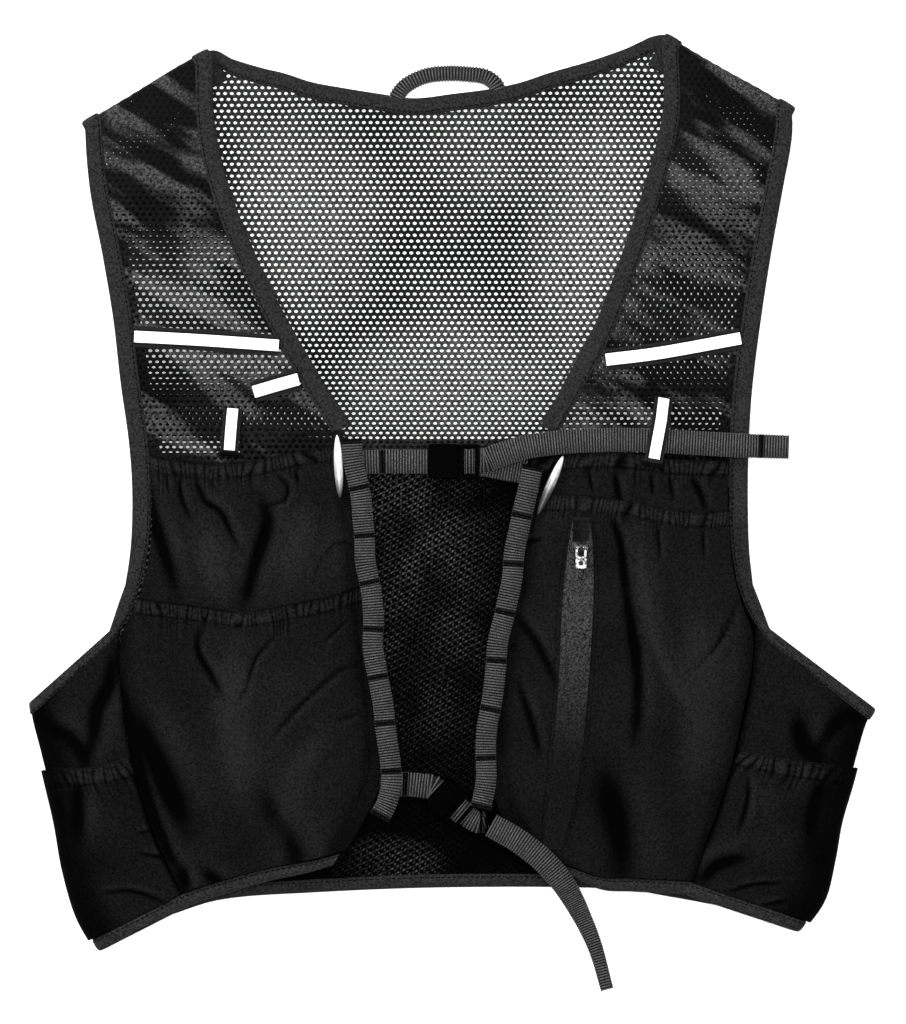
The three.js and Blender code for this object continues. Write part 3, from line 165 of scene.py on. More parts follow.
RIGHT = {
    "hand": -1,
    "sections": [
        (0.05, 0.545, 0.3),
        (0.09, 0.58, 0.254),
        (0.12, 0.6, 0.16),
        (0.15, 0.625, 0.112),
        (0.2, 0.657, 0.078),
        (0.26, 0.686, 0.08),
        (0.32, 0.71, 0.101),
        (0.38, 0.712, 0.123),
        (0.44, 0.699, 0.142),
        (0.5, 0.696, 0.166),
        (0.55, 0.698, 0.19),
        (0.61, 0.706, 0.256),
        (0.68, 0.725, 0.337),
        (0.76, 0.752, 0.404),
        (0.83, 0.78, 0.454),
        (0.89, 0.803, 0.491),
        (0.93, 0.8, 0.503),
        (0.99, 0.79, 0.499),
    ],
    "hem": [(0, 0.064), (0.5, 0.067), (0.77, 0.07), (1, 0.089)],
    "shoulder": [(0, 0.919), (0.25, 0.94), (0.51, 0.96), (0.76, 0.98), (1, 1.0)],
    "wing": [
        (0.561, 0.062, 0.82, 0.022),
        (0.584, 0.102, 0.874, 0.057),
        (0.617, 0.138, 0.898, 0.1),
        (0.648, 0.182, 0.914, 0.141),
        (0.671, 0.22, 0.94, 0.182),
        (0.69, 0.257, 0.963, 0.222),
        (0.706, 0.296, 0.982, 0.25),
        (0.716, 0.363, 1.001, 0.264),
    ],
    "upper_mouth": [(0.02, 0.534), (0.29, 0.536), (0.456, 0.541), (0.67, 0.543), (0.9, 0.539)],
    "lower_mouth": [
        (0.02, 0.483),
        (0.19, 0.479),
        (0.37, 0.483),
        (0.51, 0.491),
        (0.75, 0.497),
        (0.95, 0.497),
    ],
    "side_mouth": [(0, 0.222), (0.5, 0.211), (1, 0.203)],
    "rail": [
        (0.159, 0.068),
        (0.187, 0.075),
        (0.225, 0.082),
        (0.274, 0.092),
        (0.329, 0.108),
        (0.383, 0.13),
        (0.443, 0.151),
        (0.497, 0.174),
        (0.53, 0.19),
    ],
}
# v, outer, inner: height of the front mesh, as shares of FRONT_HEIGHT
FRONT_RISE = [
    (0.05, 0.76, 0.8),
    (0.2, 0.86, 0.97),
    (0.36, 0.86, 1),
    (0.55, 0.88, 1),
    (0.7, 0.8, 0.88),
    (0.85, 0.72, 0.76),
]
ARMHOLE_INSET = [(0.3, 0), (0.345, 0.08), (0.381, 0.72), (0.42, 1), (0.6, 1.04)]
# s, v
BACK_TOP = [
    (0, 0.86),
    (0.05, 0.882),
    (0.1, 0.904),
    (0.14, 0.968),
    (0.165, 0.984),
    (0.1966, 0.974),
    (0.2415, 0.964),
    (0.27, 0.959),
    (0.31, 0.949),
    (0.36, 0.942),
    (0.41, 0.936),
    (0.46, 0.931),
    (0.52, 0.936),
    (0.58, 0.942),
    (0.62, 0.949),
    (0.66, 0.959),
    (0.72, 0.972),
    (0.77, 0.985),
    (0.79, 0.992),
    (0.81, 0.999),
    (0.835, 1.0),
    (0.86, 0.985),
    (0.9, 0.93),
    (0.95, 0.9),
    (1, 0.875),
]
BACK_HEM = [(0, 0.036), (0.1, 0.055), (0.25, 0.062), (0.5, 0.067), (0.8, 0.064), (0.9, 0.054), (1, 0.042)]
# t, left, right, v
BACK_ARMHOLE = [
    (0.25, -0.755, 0.69, 0.35),
    (0.4, -0.72, 0.655, 0.47),
    (0.6, -0.755, 0.69, 0.62),
    (0.8, -0.8, 0.735, 0.76),
    (1, -0.84, 0.785, 0.88),
]
# v, u, width
ZIP_LINE = [
    (0.113, 0.236, 0.62),
    (0.176, 0.259, 0.9),
    (0.274, 0.28, 0.96),
    (0.383, 0.294, 1),
    (0.44, 0.3, 0.8),
    (0.47, 0.302, 0.56),
]
# Soft folds of the pocket cloth: from u, v to u, v, then width and rise in shares of POCKET_DEPTH
LEFT_UPPER_FOLDS = [
    (-0.71, 0.52, -0.64, 0.4, 1.5, 0.3),
    (-0.36, 0.53, -0.4, 0.42, 1.4, 0.26),
]
LEFT_LOWER_FOLDS = [
    (-0.24, 0.31, -0.42, 0.22, 1.3, 0.3),
    (-0.45, 0.34, -0.48, 0.27, 1.2, 0.2),
    (-0.66, 0.3, -0.6, 0.16, 0.8, 0.12),
    (-0.5, 0.2, -0.46, 0.12, 0.9, 0.1),
]
RIGHT_UPPER_FOLDS = [(0.42, 0.53, 0.41, 0.49, 0.5, 0.08)]
RIGHT_LOWER_FOLDS = [
    (0.45, 0.45, 0.56, 0.26, 1.4, 0.28),
    (0.15, 0.36, 0.22, 0.32, 1.1, 0.2),
]
# Creases: half width and depth in millimetres, then the line's places in steps of STEP_X and STEP_Y
# from CREASE_LEFT and CREASE_FOOT. A negative depth is a raised fold.
CREASE_LEFT = 452
CREASE_FOOT = 952
STEP_X = 0.51826
STEP_Y = 0.52013
CREASE_STEPS = 36
LEFT_UPPER_CREASES = [
    (3.4, 2.8, (142, 458), (150, 507), (162, 543), (180, 598)),
    (1.2, 1.3, (180, 474), (182, 497), (192, 520)),
    (1.7, 1.8, (196, 476), (205, 500), (222, 513), (232, 533), (242, 551)),
    (3.5, 3.6, (262, 498), (268, 523), (257, 560), (245, 606)),
    (1.1, 1.1, (277, 474), (288, 487), (285, 500), (268, 506)),
    (1.0, 0.9, (292, 462), (299, 484)),
    (0.8, 0.8, (312, 582), (322, 557), (338, 542), (356, 546)),
    (1.0, 0.9, (209, 466), (213, 488)),
    (0.9, 0.8, (166, 468), (169, 492)),
    (7.0, -1.3, (205, 530), (215, 570), (222, 600)),
    (8.0, -1.2, (305, 500), (300, 540), (286, 590)),
]
LEFT_LOWER_CREASES = [
    (1.8, 1.8, (203, 624), (200, 647), (212, 670), (228, 696)),
    (1.1, 1.2, (278, 632), (258, 657), (248, 687), (238, 704)),
    (1.2, 1.4, (357, 662), (338, 670), (312, 693), (292, 713), (268, 742)),
    (0.9, 0.8, (360, 711), (336, 717)),
    (6.5, 3.0, (128, 700), (146, 738), (166, 778), (188, 830)),
    (2.2, 1.8, (119, 676), (128, 722), (139, 765), (154, 812), (170, 852), (186, 884)),
    (0.8, 0.7, (346, 620), (324, 642)),
    (2.4, 1.6, (182, 864), (186, 889)),
    (2.8, 1.6, (203, 870), (228, 889)),
    (9.0, -1.5, (240, 650), (236, 720), (246, 800)),
    (7.0, -1.2, (330, 720), (300, 770), (280, 850)),
    (5.0, 1.2, (262, 790), (290, 840), (300, 885)),
]
RIGHT_UPPER_CREASES = [
    (1.6, 1.7, (614, 472), (617, 490), (620, 506)),
    (1.7, 1.9, (690, 476), (700, 495), (705, 510)),
    (1.1, 1.1, (650, 474), (652, 494)),
    (1.3, 1.2, (733, 498), (743, 510)),
    (1.0, 0.9, (588, 470), (592, 492)),
    (1.2, 1.0, (668, 474), (672, 500)),
]
RIGHT_LOWER_CREASES = [
    (1.8, 2.0, (609, 514), (619, 545), (623, 584)),
    (2.8, 2.6, (621, 560), (628, 617), (634, 655), (636, 700), (632, 740)),
    (2.6, -1.9, (636, 530), (643, 590), (653, 637), (667, 673), (690, 707), (712, 736)),
    (1.3, 1.5, (736, 600), (722, 632), (706, 654), (686, 671)),
    (1.9, 1.8, (516, 614), (537, 643), (556, 682)),
    (1.7, 1.6, (517, 680), (527, 707), (540, 752)),
    (1.2, 1.1, (524, 542), (543, 539)),
    (1.0, 0.9, (655, 522), (657, 560)),
    (1.0, 0.8, (700, 528), (702, 558)),
    (9.0, -1.4, (690, 600), (700, 680), (690, 790)),
    (7.0, 1.3, (600, 760), (618, 830), (622, 884)),
]
LEFT_WING_CREASES = [
    (3.6, 2.2, (115, 648), (107, 687), (97, 707), (91, 740), (84, 764)),
    (3.6, 2.0, (28, 702), (47, 727), (70, 740), (84, 764)),
]
LEFT_SIDE_CREASES = [
    (3.4, 2.4, (80, 780), (80, 810), (78, 838)),
    (1.2, 1.1, (103, 893), (130, 890), (167, 903)),
    (1.0, 0.9, (138, 851), (164, 858)),
    (0.9, 0.8, (136, 833), (152, 829)),
    (1.4, 1.2, (58, 796), (64, 816)),
]
RIGHT_WING_CREASES = [
    (4.6, 2.6, (798, 716), (805, 745), (824, 766)),
    (3.4, 2.0, (876, 714), (842, 720), (818, 752)),
]
RIGHT_SIDE_CREASES = [
    (1.3, 1.2, (747, 774), (747, 797), (738, 830)),
    (3.4, 2.4, (821, 779), (813, 810), (810, 838)),
    (1.1, 1.1, (726, 892), (755, 884), (786, 882)),
    (3.2, 1.5, (700, 884), (717, 865), (748, 854)),
    (1.0, 0.8, (758, 906), (792, 899)),
]


def lerp(a, b, t):
    return a + (b - a) * t


def smooth(x, low, high):
    t = np.clip((np.asarray(x, float) - low) / (high - low), 0, 1)
    return t * t * (3 - 2 * t)


def point(x, y, z):
    return np.stack(np.broadcast_arrays(x, y, z), -1).astype(float)


def unit(v):
    return v / np.maximum(np.linalg.norm(v, axis=-1, keepdims=True), 1e-12)


def arrays(*values):
    """Copies of the values as arrays of one shape."""
    return [np.array(n, float) for n in np.broadcast_arrays(*values)]


def grid_of(first, second):
    return np.meshgrid(first, second, indexing="ij")


def run_length(points):
    """How far each point lies along its line."""
    return np.concatenate([[0], np.cumsum(np.linalg.norm(np.diff(points, axis=0), axis=1))])


def search(short, like, top, steps):
    """The share from 0 to top at which short(share) turns false, by halving."""
    low, high = np.zeros_like(like), np.full_like(like, top)
    for _ in range(steps):
        share = (low + high) / 2
        found = short(share)
        low, high = np.where(found, share, low), np.where(found, high, share)
    return share


def turned(points, turn):
    """Points turned about z."""
    c, s = math.cos(turn), math.sin(turn)
    return points @ np.array([[c, s], [-s, c]])


def level(here, across):
    """Frames that lie level along a line."""
    return [here, np.zeros_like(here) + across, np.zeros_like(here) + (0, 0, 1)]


def curve(rows, column, key=0):
    """A smooth curve through a table's rows, straight beyond both ends."""
    xs = np.array([row[key] for row in rows], float)
    ys = np.array([row[column] for row in rows], float)
    last = len(xs) - 1
    before = np.maximum(np.arange(last + 1) - 1, 0)
    after = np.minimum(np.arange(last + 1) + 1, last)
    tangent = (ys[after] - ys[before]) / (xs[after] - xs[before])

    def read(x):
        x = np.asarray(x, float)
        i = np.clip(np.searchsorted(xs, x, side="left") - 1, 0, last - 1)
        span = xs[i + 1] - xs[i]
        t = np.clip((x - xs[i]) / span, 0, 1)
        bend = (3 - 2 * t) * t * t
        lead = t * (1 - t) ** 2 * span * tangent[i]
        trail = t * t * (t - 1) * span * tangent[i + 1]
        inside = lerp(ys[i], ys[i + 1], bend) + lead + trail
        below = ys[0] + (x - xs[0]) * (ys[1] - ys[0]) / (xs[1] - xs[0])
        above = ys[last] + (x - xs[last]) * (ys[last] - ys[last - 1]) / (xs[last] - xs[last - 1])
        return np.where(x <= xs[0], below, np.where(x >= xs[last], above, inside))

    return read


def swell(x, y, size, seed, count=7):
    """Soft uneven waves of about that size, between -1 and 1."""
    rng = np.random.default_rng(seed)
    total = 0
    for _ in range(count):
        angle = rng.uniform(0, 2 * math.pi)
        rate = 2 * math.pi / (size * rng.uniform(0.7, 1.6))
        shift = rng.uniform(0, 2 * math.pi)
        total = total + np.sin((np.cos(angle) * x + np.sin(angle) * y) * rate + shift)
    return total / count * 1.6


class Front:
    """The front strap and panel of one side."""

    def __init__(self, side):
        self.hand = side["hand"]
        self.side = side
        self.outer = curve(side["sections"], 1)
        self.inner = curve(side["sections"], 2)
        self.hem = curve(side["hem"], 1)
        self.shoulder = curve(side["shoulder"], 1)
        self.outer_rise = curve(FRONT_RISE, 1)
        self.inner_rise = curve(FRONT_RISE, 2)
        axis = unit(self.plan(1, self.shoulder(1)) - self.plan(0, self.shoulder(0)))
        self.axis = axis
        self.out = np.array([-axis[1], axis[0], 0]) * self.hand

    def x(self, s, v):
        return lerp(self.outer(v), self.inner(v), s) * HALF_WIDTH

    def plan(self, s, v):
        return point(self.x(s, v), np.asarray(v) * VEST_LENGTH, 0)

    def share(self, px, v):
        return (px / HALF_WIDTH - self.outer(v)) / (self.inner(v) - self.outer(v))

    def fold_start(self, s):
        return self.shoulder(s) - SHOULDER_FOLD * self.out[1] / VEST_LENGTH

    def z(self, s, v):
        table = FRONT_HEIGHT * lerp(self.outer_rise(v), self.inner_rise(v), smooth(s, 0, 1))
        start = self.fold_start(s)
        return lerp(table, SHOULDER_TOP, smooth(v - start, -0.16, 0))

    def row(self, s, v):
        return (v - self.hem(s)) / (self.fold_start(s) - self.hem(s))

    def behind(self, s, distance):
        """The cloth that distance past the start of the shoulder fold."""
        start = self.plan(s, self.fold_start(s))
        turn = np.clip(distance / SHOULDER_FOLD, 0, math.pi)
        past = np.maximum(distance - math.pi * SHOULDER_FOLD, 0)
        place = start + self.out * (SHOULDER_FOLD * np.sin(turn) - past)[..., None]
        place[..., 2] = BACK_CLOTH_Z + SHOULDER_FOLD * (1 + np.cos(turn))
        return place

    def at(self, s, k):
        """k runs 0..1 from the hem to the fold, 1..2 round it and 2..3 behind it."""
        s, k = arrays(s, k)
        v = lerp(self.hem(s), self.fold_start(s), k)
        flat = point(self.x(s, v), v * VEST_LENGTH, self.z(s, v))
        turned = np.clip(k - 1, 0, 1) * math.pi * SHOULDER_FOLD + np.maximum(k - 2, 0) * SHOULDER_TAIL
        return np.where((k <= 1)[..., None], flat, self.behind(s, turned))

    def unrolled(self, x, y):
        """A point of the cloth laid out flat, put where the worn cloth is."""
        v = y / VEST_LENGTH
        s = self.share(x, v)
        flat = point(x, y, self.z(s, v))
        base = self.plan(0, self.fold_start(0))
        width = np.linalg.norm((self.plan(1, self.fold_start(1)) - base)[:2])
        offset = point(x, y, 0) - base
        past = offset @ self.out
        along = np.clip(offset @ self.axis / width, -0.05, 1.05)
        start = self.plan(along, self.fold_start(along))
        over = np.maximum(past - (start - base) @ self.out, 0)
        folded = self.behind(along, over)
        return np.where((over > 0)[..., None], folded, flat), over, along


class Wing:
    """The wing of one side: a runs 0..1 from the seam to the side fold, 1..2 round it and 2..3 behind it."""

    def __init__(self, side, panel):
        rows = [(i / (len(side["wing"]) - 1),) + row for i, row in enumerate(side["wing"])]
        self.hand = side["hand"]
        self.side = side
        self.panel = panel
        self.seam, self.seam_v, self.edge, self.edge_v = (curve(rows, column) for column in (1, 2, 3, 4))

    def at(self, a, t):
        a, t = arrays(a, t)
        start = point(self.seam(t) * HALF_WIDTH, self.seam_v(t) * VEST_LENGTH, 0)
        end = point(self.edge(t) * HALF_WIDTH, self.edge_v(t) * VEST_LENGTH, 0)
        out = unit(end - start)
        start = start + out * SEAM_GAP
        fold = end - out * SIDE_FOLD
        flat = lerp(start, fold, np.minimum(a, 1)[..., None])
        flat[..., 2] = lerp(self.panel.z(0, self.seam_v(t)), SIDE_TOP, smooth(a, 0, 1))
        turn = np.clip(a - 1, 0, 1) * math.pi
        past = np.maximum(a - 2, 0) * WING_BACK
        folded = fold + out * (SIDE_FOLD * np.sin(turn) - past)[..., None]
        folded[..., 2] = BACK_CLOTH_Z + SIDE_FOLD * (1 + np.cos(turn))
        return np.where((a <= 1)[..., None], flat, folded)


def normal_of(at, a, b, hand):
    nudge = 1e-3
    along_a = at(a + nudge, b) - at(a - nudge, b)
    along_b = at(a, b + nudge) - at(a, b - nudge)
    return unit(np.cross(along_a, along_b)) * hand


left_front, right_front = Front(LEFT), Front(RIGHT)
left_wing, right_wing = Wing(LEFT, left_front), Wing(RIGHT, right_front)


def fold_rise(folds, px, v):
    rise = np.zeros(np.broadcast(px, v).shape)
    here = point(px, v * VEST_LENGTH, 0)[..., :2]
    for u1, v1, u2, v2, width, height in folds:
        start = np.array([u1 * HALF_WIDTH, v1 * VEST_LENGTH])
        along = np.array([u2 * HALF_WIDTH, v2 * VEST_LENGTH]) - start
        t = np.clip(((here - start) @ along) / (along @ along), 0, 1)
        reach = np.linalg.norm(here - (start + t[..., None] * along), axis=-1) / (width * POCKET_DEPTH)
        rise = rise + height * POCKET_DEPTH * np.exp(-reach * reach)
    return rise


def smooth_line(points, count):
    """A smooth line through points, evenly spaced."""
    points = np.asarray(points, float)
    steps = np.concatenate([[0], np.cumsum(np.sqrt(np.linalg.norm(np.diff(points, axis=0), axis=1)))])
    dense = np.linspace(0, steps[-1], 600)
    rows = [(step, *p) for step, p in zip(steps, points)]
    path = np.stack([curve(rows, column + 1)(dense) for column in range(points.shape[1])], -1)
    length = run_length(path)
    even = np.linspace(0, length[-1], count)
    return np.stack([np.interp(even, length, column) for column in path.T], -1)


def creased(table, x, y):
    """The rise of the creases, and their painted shade: below 0 in a crease, above 0 on the fold beside it.
    """
    here = np.stack(np.broadcast_arrays(x, y), -1)
    rise, shade = np.zeros(here.shape[:-1]), np.zeros(here.shape[:-1])
    for width, depth, *places in table:
        places = [((px - CREASE_LEFT) * STEP_X, (CREASE_FOOT - py) * STEP_Y) for px, py in places]
        line = smooth_line(places, CREASE_STEPS)
        away = here[..., None, :] - line
        gap = (away**2).sum(-1)
        nearest = gap.argmin(-1)
        distance = np.sqrt(np.take_along_axis(gap, nearest[..., None], -1)[..., 0])
        offset = np.take_along_axis(away, nearest[..., None, None], -2)[..., 0, :]
        tangent = np.gradient(line, axis=0)[nearest]
        side = np.sign(tangent[..., 0] * offset[..., 1] - tangent[..., 1] * offset[..., 0])
        taper = np.sin(math.pi * np.clip(nearest / (CREASE_STEPS - 1), 0.03, 0.97)) ** 0.6
        dent = np.exp(-((distance / width) ** 2)) * taper
        lip = np.exp(-(((side * distance - 2.2 * width) / (1.2 * width)) ** 2)) * taper
        rise = rise - depth * dent + 0.35 * abs(depth) * lip
        # painted shade in the crease, painted highlight on the lip beside it
        shade = shade - math.tanh(depth / 1.3) * dent + 0.25 * lip
    return rise, shade


def gathers(phase, drop, uneven, band):
    """An elastic edge: narrow folds with sharp valleys, even in the band, running out unevenly below it, and
    their painted shade: dark in the valleys and at the band's foot, pale on the ridges.
    """
    lean = np.clip(drop, 0, band) - band / 2
    fork = 0.085 * np.sin(0.71 * phase + 1.3 * np.sin(0.4 * phase)) * lean
    ridge = np.abs(np.sin(math.pi * (phase + fork))) ** 0.7
    held = smooth(drop, 0.3, 2) * (1 - smooth(drop, band - 0.8, band + 0.3))
    past = np.maximum(drop - band, 0)
    below = smooth(drop, band, band + 1.6) * np.exp(-((past / (2 + 7 * uneven**2)) ** 1.2)) * uneven
    pinch = np.exp(-(((drop - band) / 0.7) ** 2))
    rise = 0.9 * (ridge - 0.6) * held + 1.9 * (ridge - 0.7) * below - 0.5 * pinch
    # painted shade: small crumples that the rise doesn't have, dark valleys and band foot, pale ridges
    crumple_shade = 0.35 * np.sin(phase * 2.9 + drop * 0.7) * np.sin(phase * 1.3 - drop * 1.1)
    shade = (1.7 * (ridge - 0.6) + crumple_shade) * held + 1.3 * (ridge - 0.8) * below - 0.8 * pinch * (1.3 - ridge)
    return rise, shade


class Pocket:
    """A stretch pocket as a height over the cloth beneath it."""

    def __init__(self, panel, mouth, base, folds, creases, waves, phase, seed):
        self.panel = panel
        self.mouth = curve(mouth, 1)
        self.inset = curve(ARMHOLE_INSET, 1)
        self.base = base
        self.folds, self.creases, self.waves, self.phase, self.seed = folds, creases, waves, phase, seed

    def low(self, s):
        return self.panel.hem(s) + (WING_BINDING_WIDTH + SEAM_GAP) / VEST_LENGTH

    def relief(self, s, v):
        """The rise over the cloth beneath, and the painted shade of its folds from 0 to 1."""
        k = np.clip((v - self.low(s)) / (self.mouth(s) - self.low(s)), 0, 1)
        width = np.abs(self.panel.x(1, v) - self.panel.x(0, v))
        clear = np.clip(s * width / (width - RAIL_REST), 0, 1)
        across = np.sin(math.pi * clear) ** 0.75
        along = smooth(k, 0, 0.42) * lerp(1, MOUTH_SHARE, smooth(k, 0.6, 1))
        drop = (self.mouth(s) - v) * VEST_LENGTH
        px = self.panel.x(s, v)
        broad = np.exp(-((drop / GATHER_REACH) ** 2)) * np.sin(2 * math.pi * (self.waves * s + self.phase))
        uneven = np.clip(0.5 + 0.5 * swell(px, v * 0, 21, self.seed + 1), 0.05, 1)
        phase = s * self.waves * 5.0 + 1.5 * swell(px, v * 0, 15, self.seed)
        folded, dark = gathers(phase, drop, uneven, BAND)
        soft = fold_rise(self.folds, px, v) * smooth(k, 0.05, 0.2)
        y = v * VEST_LENGTH
        slack = 0.5 * swell(px, y, 46, self.seed + 2) + 0.2 * swell(px, y, 15, self.seed + 3)
        creases, shade = creased(self.creases, px, y)
        away = smooth(drop, BAND - 1, BAND + 5)
        edge = np.exp(-(((drop - 0.4) / 0.7) ** 2))
        bulk = POCKET_DEPTH * along + 0.9 * broad + soft + (slack + creases * away) * smooth(k, 0, 0.25)
        # painted shade: dark in the gathers' valleys, in creases and at the mouth's lip, pale on crowns and
        # the slack's rises
        tone = 0.46 + 0.55 * dark + 0.8 * shade * away + 0.12 * slack - 0.3 * edge
        # painted shade along the outer seam and beside the rail
        tone = tone - 0.3 * (1 - smooth(clear, 0, 0.09)) - 0.18 * (1 - smooth(1 - clear, 0, 0.06))
        return np.maximum(across * (bulk + folded - 0.3 * edge), 0), tone

    def z(self, s, v):
        return self.base(s, v) + LAYER + self.relief(s, v)[0]

    def at(self, a, b):
        a, b = arrays(a, b)
        v = lerp(self.low(a), self.mouth(a), b)
        width = np.abs(self.panel.x(1, v) - self.panel.x(0, v))
        outer_end = np.maximum(self.inset(v), 0) * (BINDING_WIDTH / width) + SEAM_GAP / width
        s = lerp(outer_end, 0.99, a)
        return point(self.panel.x(s, v), v * VEST_LENGTH, self.z(s, v)), self.relief(s, v)[1]


left_upper = Pocket(
    left_front, LEFT["upper_mouth"], left_front.z, LEFT_UPPER_FOLDS, LEFT_UPPER_CREASES, 7, 0.1, 11
)
left_lower = Pocket(
    left_front, LEFT["lower_mouth"], left_upper.z, LEFT_LOWER_FOLDS, LEFT_LOWER_CREASES, 8, 0.35, 21
)
right_upper = Pocket(
    right_front, RIGHT["upper_mouth"], right_front.z, RIGHT_UPPER_FOLDS, RIGHT_UPPER_CREASES, 7, 0.2, 31
)
zip_pocket = Pocket(
    right_front, RIGHT["lower_mouth"], right_upper.z, RIGHT_LOWER_FOLDS, RIGHT_LOWER_CREASES, 8, 0.6, 41
)

# The back: q runs 0..1 from its hem to its top, s across it from left to right.
WING_ROWS = 0.25
BACK_REACH = 1.1
BACK_STEPS = 16
back_top, back_hem = curve(BACK_TOP, 1), curve(BACK_HEM, 1)
armhole_v = curve(BACK_ARMHOLE, 3)


def back_side(wing, column, q):
    beside = np.clip(q / WING_ROWS, 0, 1)
    seam = wing.at(3, beside)
    seam = seam + unit(seam - wing.at(2.5, beside)) * SEAM_GAP
    armhole = point(curve(BACK_ARMHOLE, column)(q) * HALF_WIDTH, armhole_v(q) * VEST_LENGTH, 0)
    above = lerp(armhole, seam, 1 - smooth(q, WING_ROWS, 0.29)[..., None])
    return np.where((q <= WING_ROWS)[..., None], seam, above)


def back_at(s, q):
    s, q = arrays(s, q)
    left, right = back_side(left_wing, 1, q), back_side(right_wing, 2, q)
    y = lerp(left[..., 1], right[..., 1], s)
    hem_line = lerp(back_hem(0), back_hem(1), s)
    bow = (back_hem(s) - hem_line) * (1 - smooth(q, 0, 0.5))
    bow = bow + (back_top(s) - armhole_v(1)) * smooth(q, 0.3, 1)
    edge = 1 - smooth(np.minimum(s, 1 - s), 0.06, 0.16)
    lift = np.maximum(np.maximum(edge, 1 - smooth(q, 0.52, 0.66)), smooth(q, 0.86, 0.96))
    wave = NECK_WAVE * (1 - lift) * (np.sin(9 * s + 7 * q) * np.cos(11 * q - 4 * s)) ** 2
    z = lerp(NECK_CLOTH_Z, BACK_CLOTH_Z, lift) + wave
    return point(lerp(left[..., 0], right[..., 0], s), y + bow * VEST_LENGTH, z)


def back_shares(x, y):
    """Where on the back a point of the plan lies."""

    def across(q):
        left, right = back_side(left_wing, 1, q), back_side(right_wing, 2, q)
        return (x - left[..., 0]) / (right[..., 0] - left[..., 0])

    q = search(lambda q: back_at(across(q), q)[..., 1] < y, x, BACK_REACH, BACK_STEPS)
    return across(q), q


# Materials
class Value:
    """A number that varies over a surface: the socket that gives it, with the usual operators."""

    def __init__(self, made, socket):
        self.made, self.socket = made, socket

    def maths(self, operation, a, b=0.0):
        return self.made.node("ShaderNodeMath", {"operation": operation}, [a, b])

    def __add__(self, other):
        return self.maths("ADD", self, other)

    def __sub__(self, other):
        return self.maths("SUBTRACT", self, other)

    def __rsub__(self, other):
        return self.maths("SUBTRACT", other, self)

    def __mul__(self, other):
        return self.maths("MULTIPLY", self, other)

    def __truediv__(self, other):
        return self.maths("DIVIDE", self, other)

    def __pow__(self, other):
        return self.maths("POWER", self, other)

    __radd__, __rmul__ = __add__, __mul__

    def least(self, other):
        return self.maths("MINIMUM", self, other)

    def wave(self):
        return self.maths("SINE", self)

    def span(self, low, high):
        ranges = [self, low, high, 0.0, 1.0]
        return self.made.node("ShaderNodeMapRange", {"interpolation_type": "SMOOTHSTEP"}, ranges)


class Finish:
    """One material, its nodes made by the node method."""

    def __init__(self, name):
        self.material = bpy.data.materials.new(name)
        self.material.use_nodes = True
        self.tree = self.material.node_tree
        self.shader = self.tree.nodes["Principled BSDF"]
        self.count = 0

    def node(self, kind, settings=None, values=(), output=0):
        made = self.tree.nodes.new(kind)
        self.count += 1
        made.location = (-220 * (self.count % 9) - 250, -200 * (self.count // 9))
        for key, value in (settings or {}).items():
            setattr(made, key, value)
        pairs = values.items() if isinstance(values, dict) else enumerate(values)
        for key, value in pairs:
            if isinstance(value, Value):
                self.tree.links.new(value.socket, made.inputs[key])
            elif value is not None:
                made.inputs[key].default_value = value
        return Value(self, made.outputs[output])

    def place(self, scale=(1, 1, 1), turn=0.0):
        """Object coordinates in millimetres."""
        coords = self.node("ShaderNodeTexCoord", output=3)
        size = tuple(1000 * n for n in scale)
        return self.node("ShaderNodeMapping", {}, {"Vector": coords, "Rotation": (0, 0, turn), "Scale": size})

    def axes(self, place):
        split = self.tree.nodes.new("ShaderNodeSeparateXYZ")
        self.tree.links.new(place.socket, split.inputs[0])
        return [Value(self, out) for out in split.outputs[:2]]

    def noise(self, place, scale, detail=2.0, rough=0.5):
        values = {"Vector": place, "Scale": scale, "Detail": detail, "Roughness": rough}
        return self.node("ShaderNodeTexNoise", {}, values)

    def mix(self, factor, first, second):
        made = self.tree.nodes.new("ShaderNodeMix")
        made.data_type = "RGBA"
        for key, value in ((0, factor), (6, first), (7, second)):
            if isinstance(value, Value):
                self.tree.links.new(value.socket, made.inputs[key])
            else:
                made.inputs[key].default_value = value
        return Value(self, made.outputs[2])

    def set(self, **values):
        for key, value in values.items():
            socket = self.shader.inputs[key.replace("_", " ")]
            if isinstance(value, Value):
                self.tree.links.new(value.socket, socket)
            else:
                socket.default_value = value
        return self

    def bump(self, height, distance, strength=1.0):
        values = {"Strength": strength, "Distance": distance / 1000, "Height": height}
        self.set(Normal=self.node("ShaderNodeBump", {}, values))
        return self.material


def grey(level):
    return (level, level, level, 1)


def fold_shade(made):
    """The painted shade of the folds, read from the shade attribute: 0 in a crease, 0.5 on plain cloth, 1 on
    a fold's crown, a painted highlight.
    """
    return made.node("ShaderNodeAttribute", {"attribute_name": "shade"}, output=2)


def pocket_cloth():
    """Black four-way stretch cloth: a very fine close weave, with painted shade in the creases and a painted
    highlight on the folds' crowns.
    """
    made = Finish("pocket_cloth")
    place = made.place()
    x, y = made.axes(place)
    weave = ((x * 7.2).wave() * (y * 7.2).wave()).span(-1, 1)
    slub = made.noise(place, 0.8, 3.0, 0.8)
    broad = made.noise(place, 0.02, 3.0)
    fine = made.noise(place, 2.6, 2.0)
    fold = fold_shade(made)
    # painted shade in the creases and painted highlight on the folds' crowns, from the shade attribute
    lit = fold.span(-0.1, 1.3) * (0.8 + 0.4 * broad) * (0.35 + 1.2 * slub.span(0.32, 0.68))
    tone = made.mix(lit.least(1.0), grey(0.0002), grey(0.0155))
    made.set(Base_Color=tone, Roughness=0.75 + 0.12 * fine, Specular_IOR_Level=0.01)
    made.set(Sheen_Weight=0.008, Sheen_Roughness=0.45, Sheen_Tint=grey(0.8))
    return made.bump(weave * 0.4 + slub * 0.6 + fine * 0.3, 0.14, 0.7)


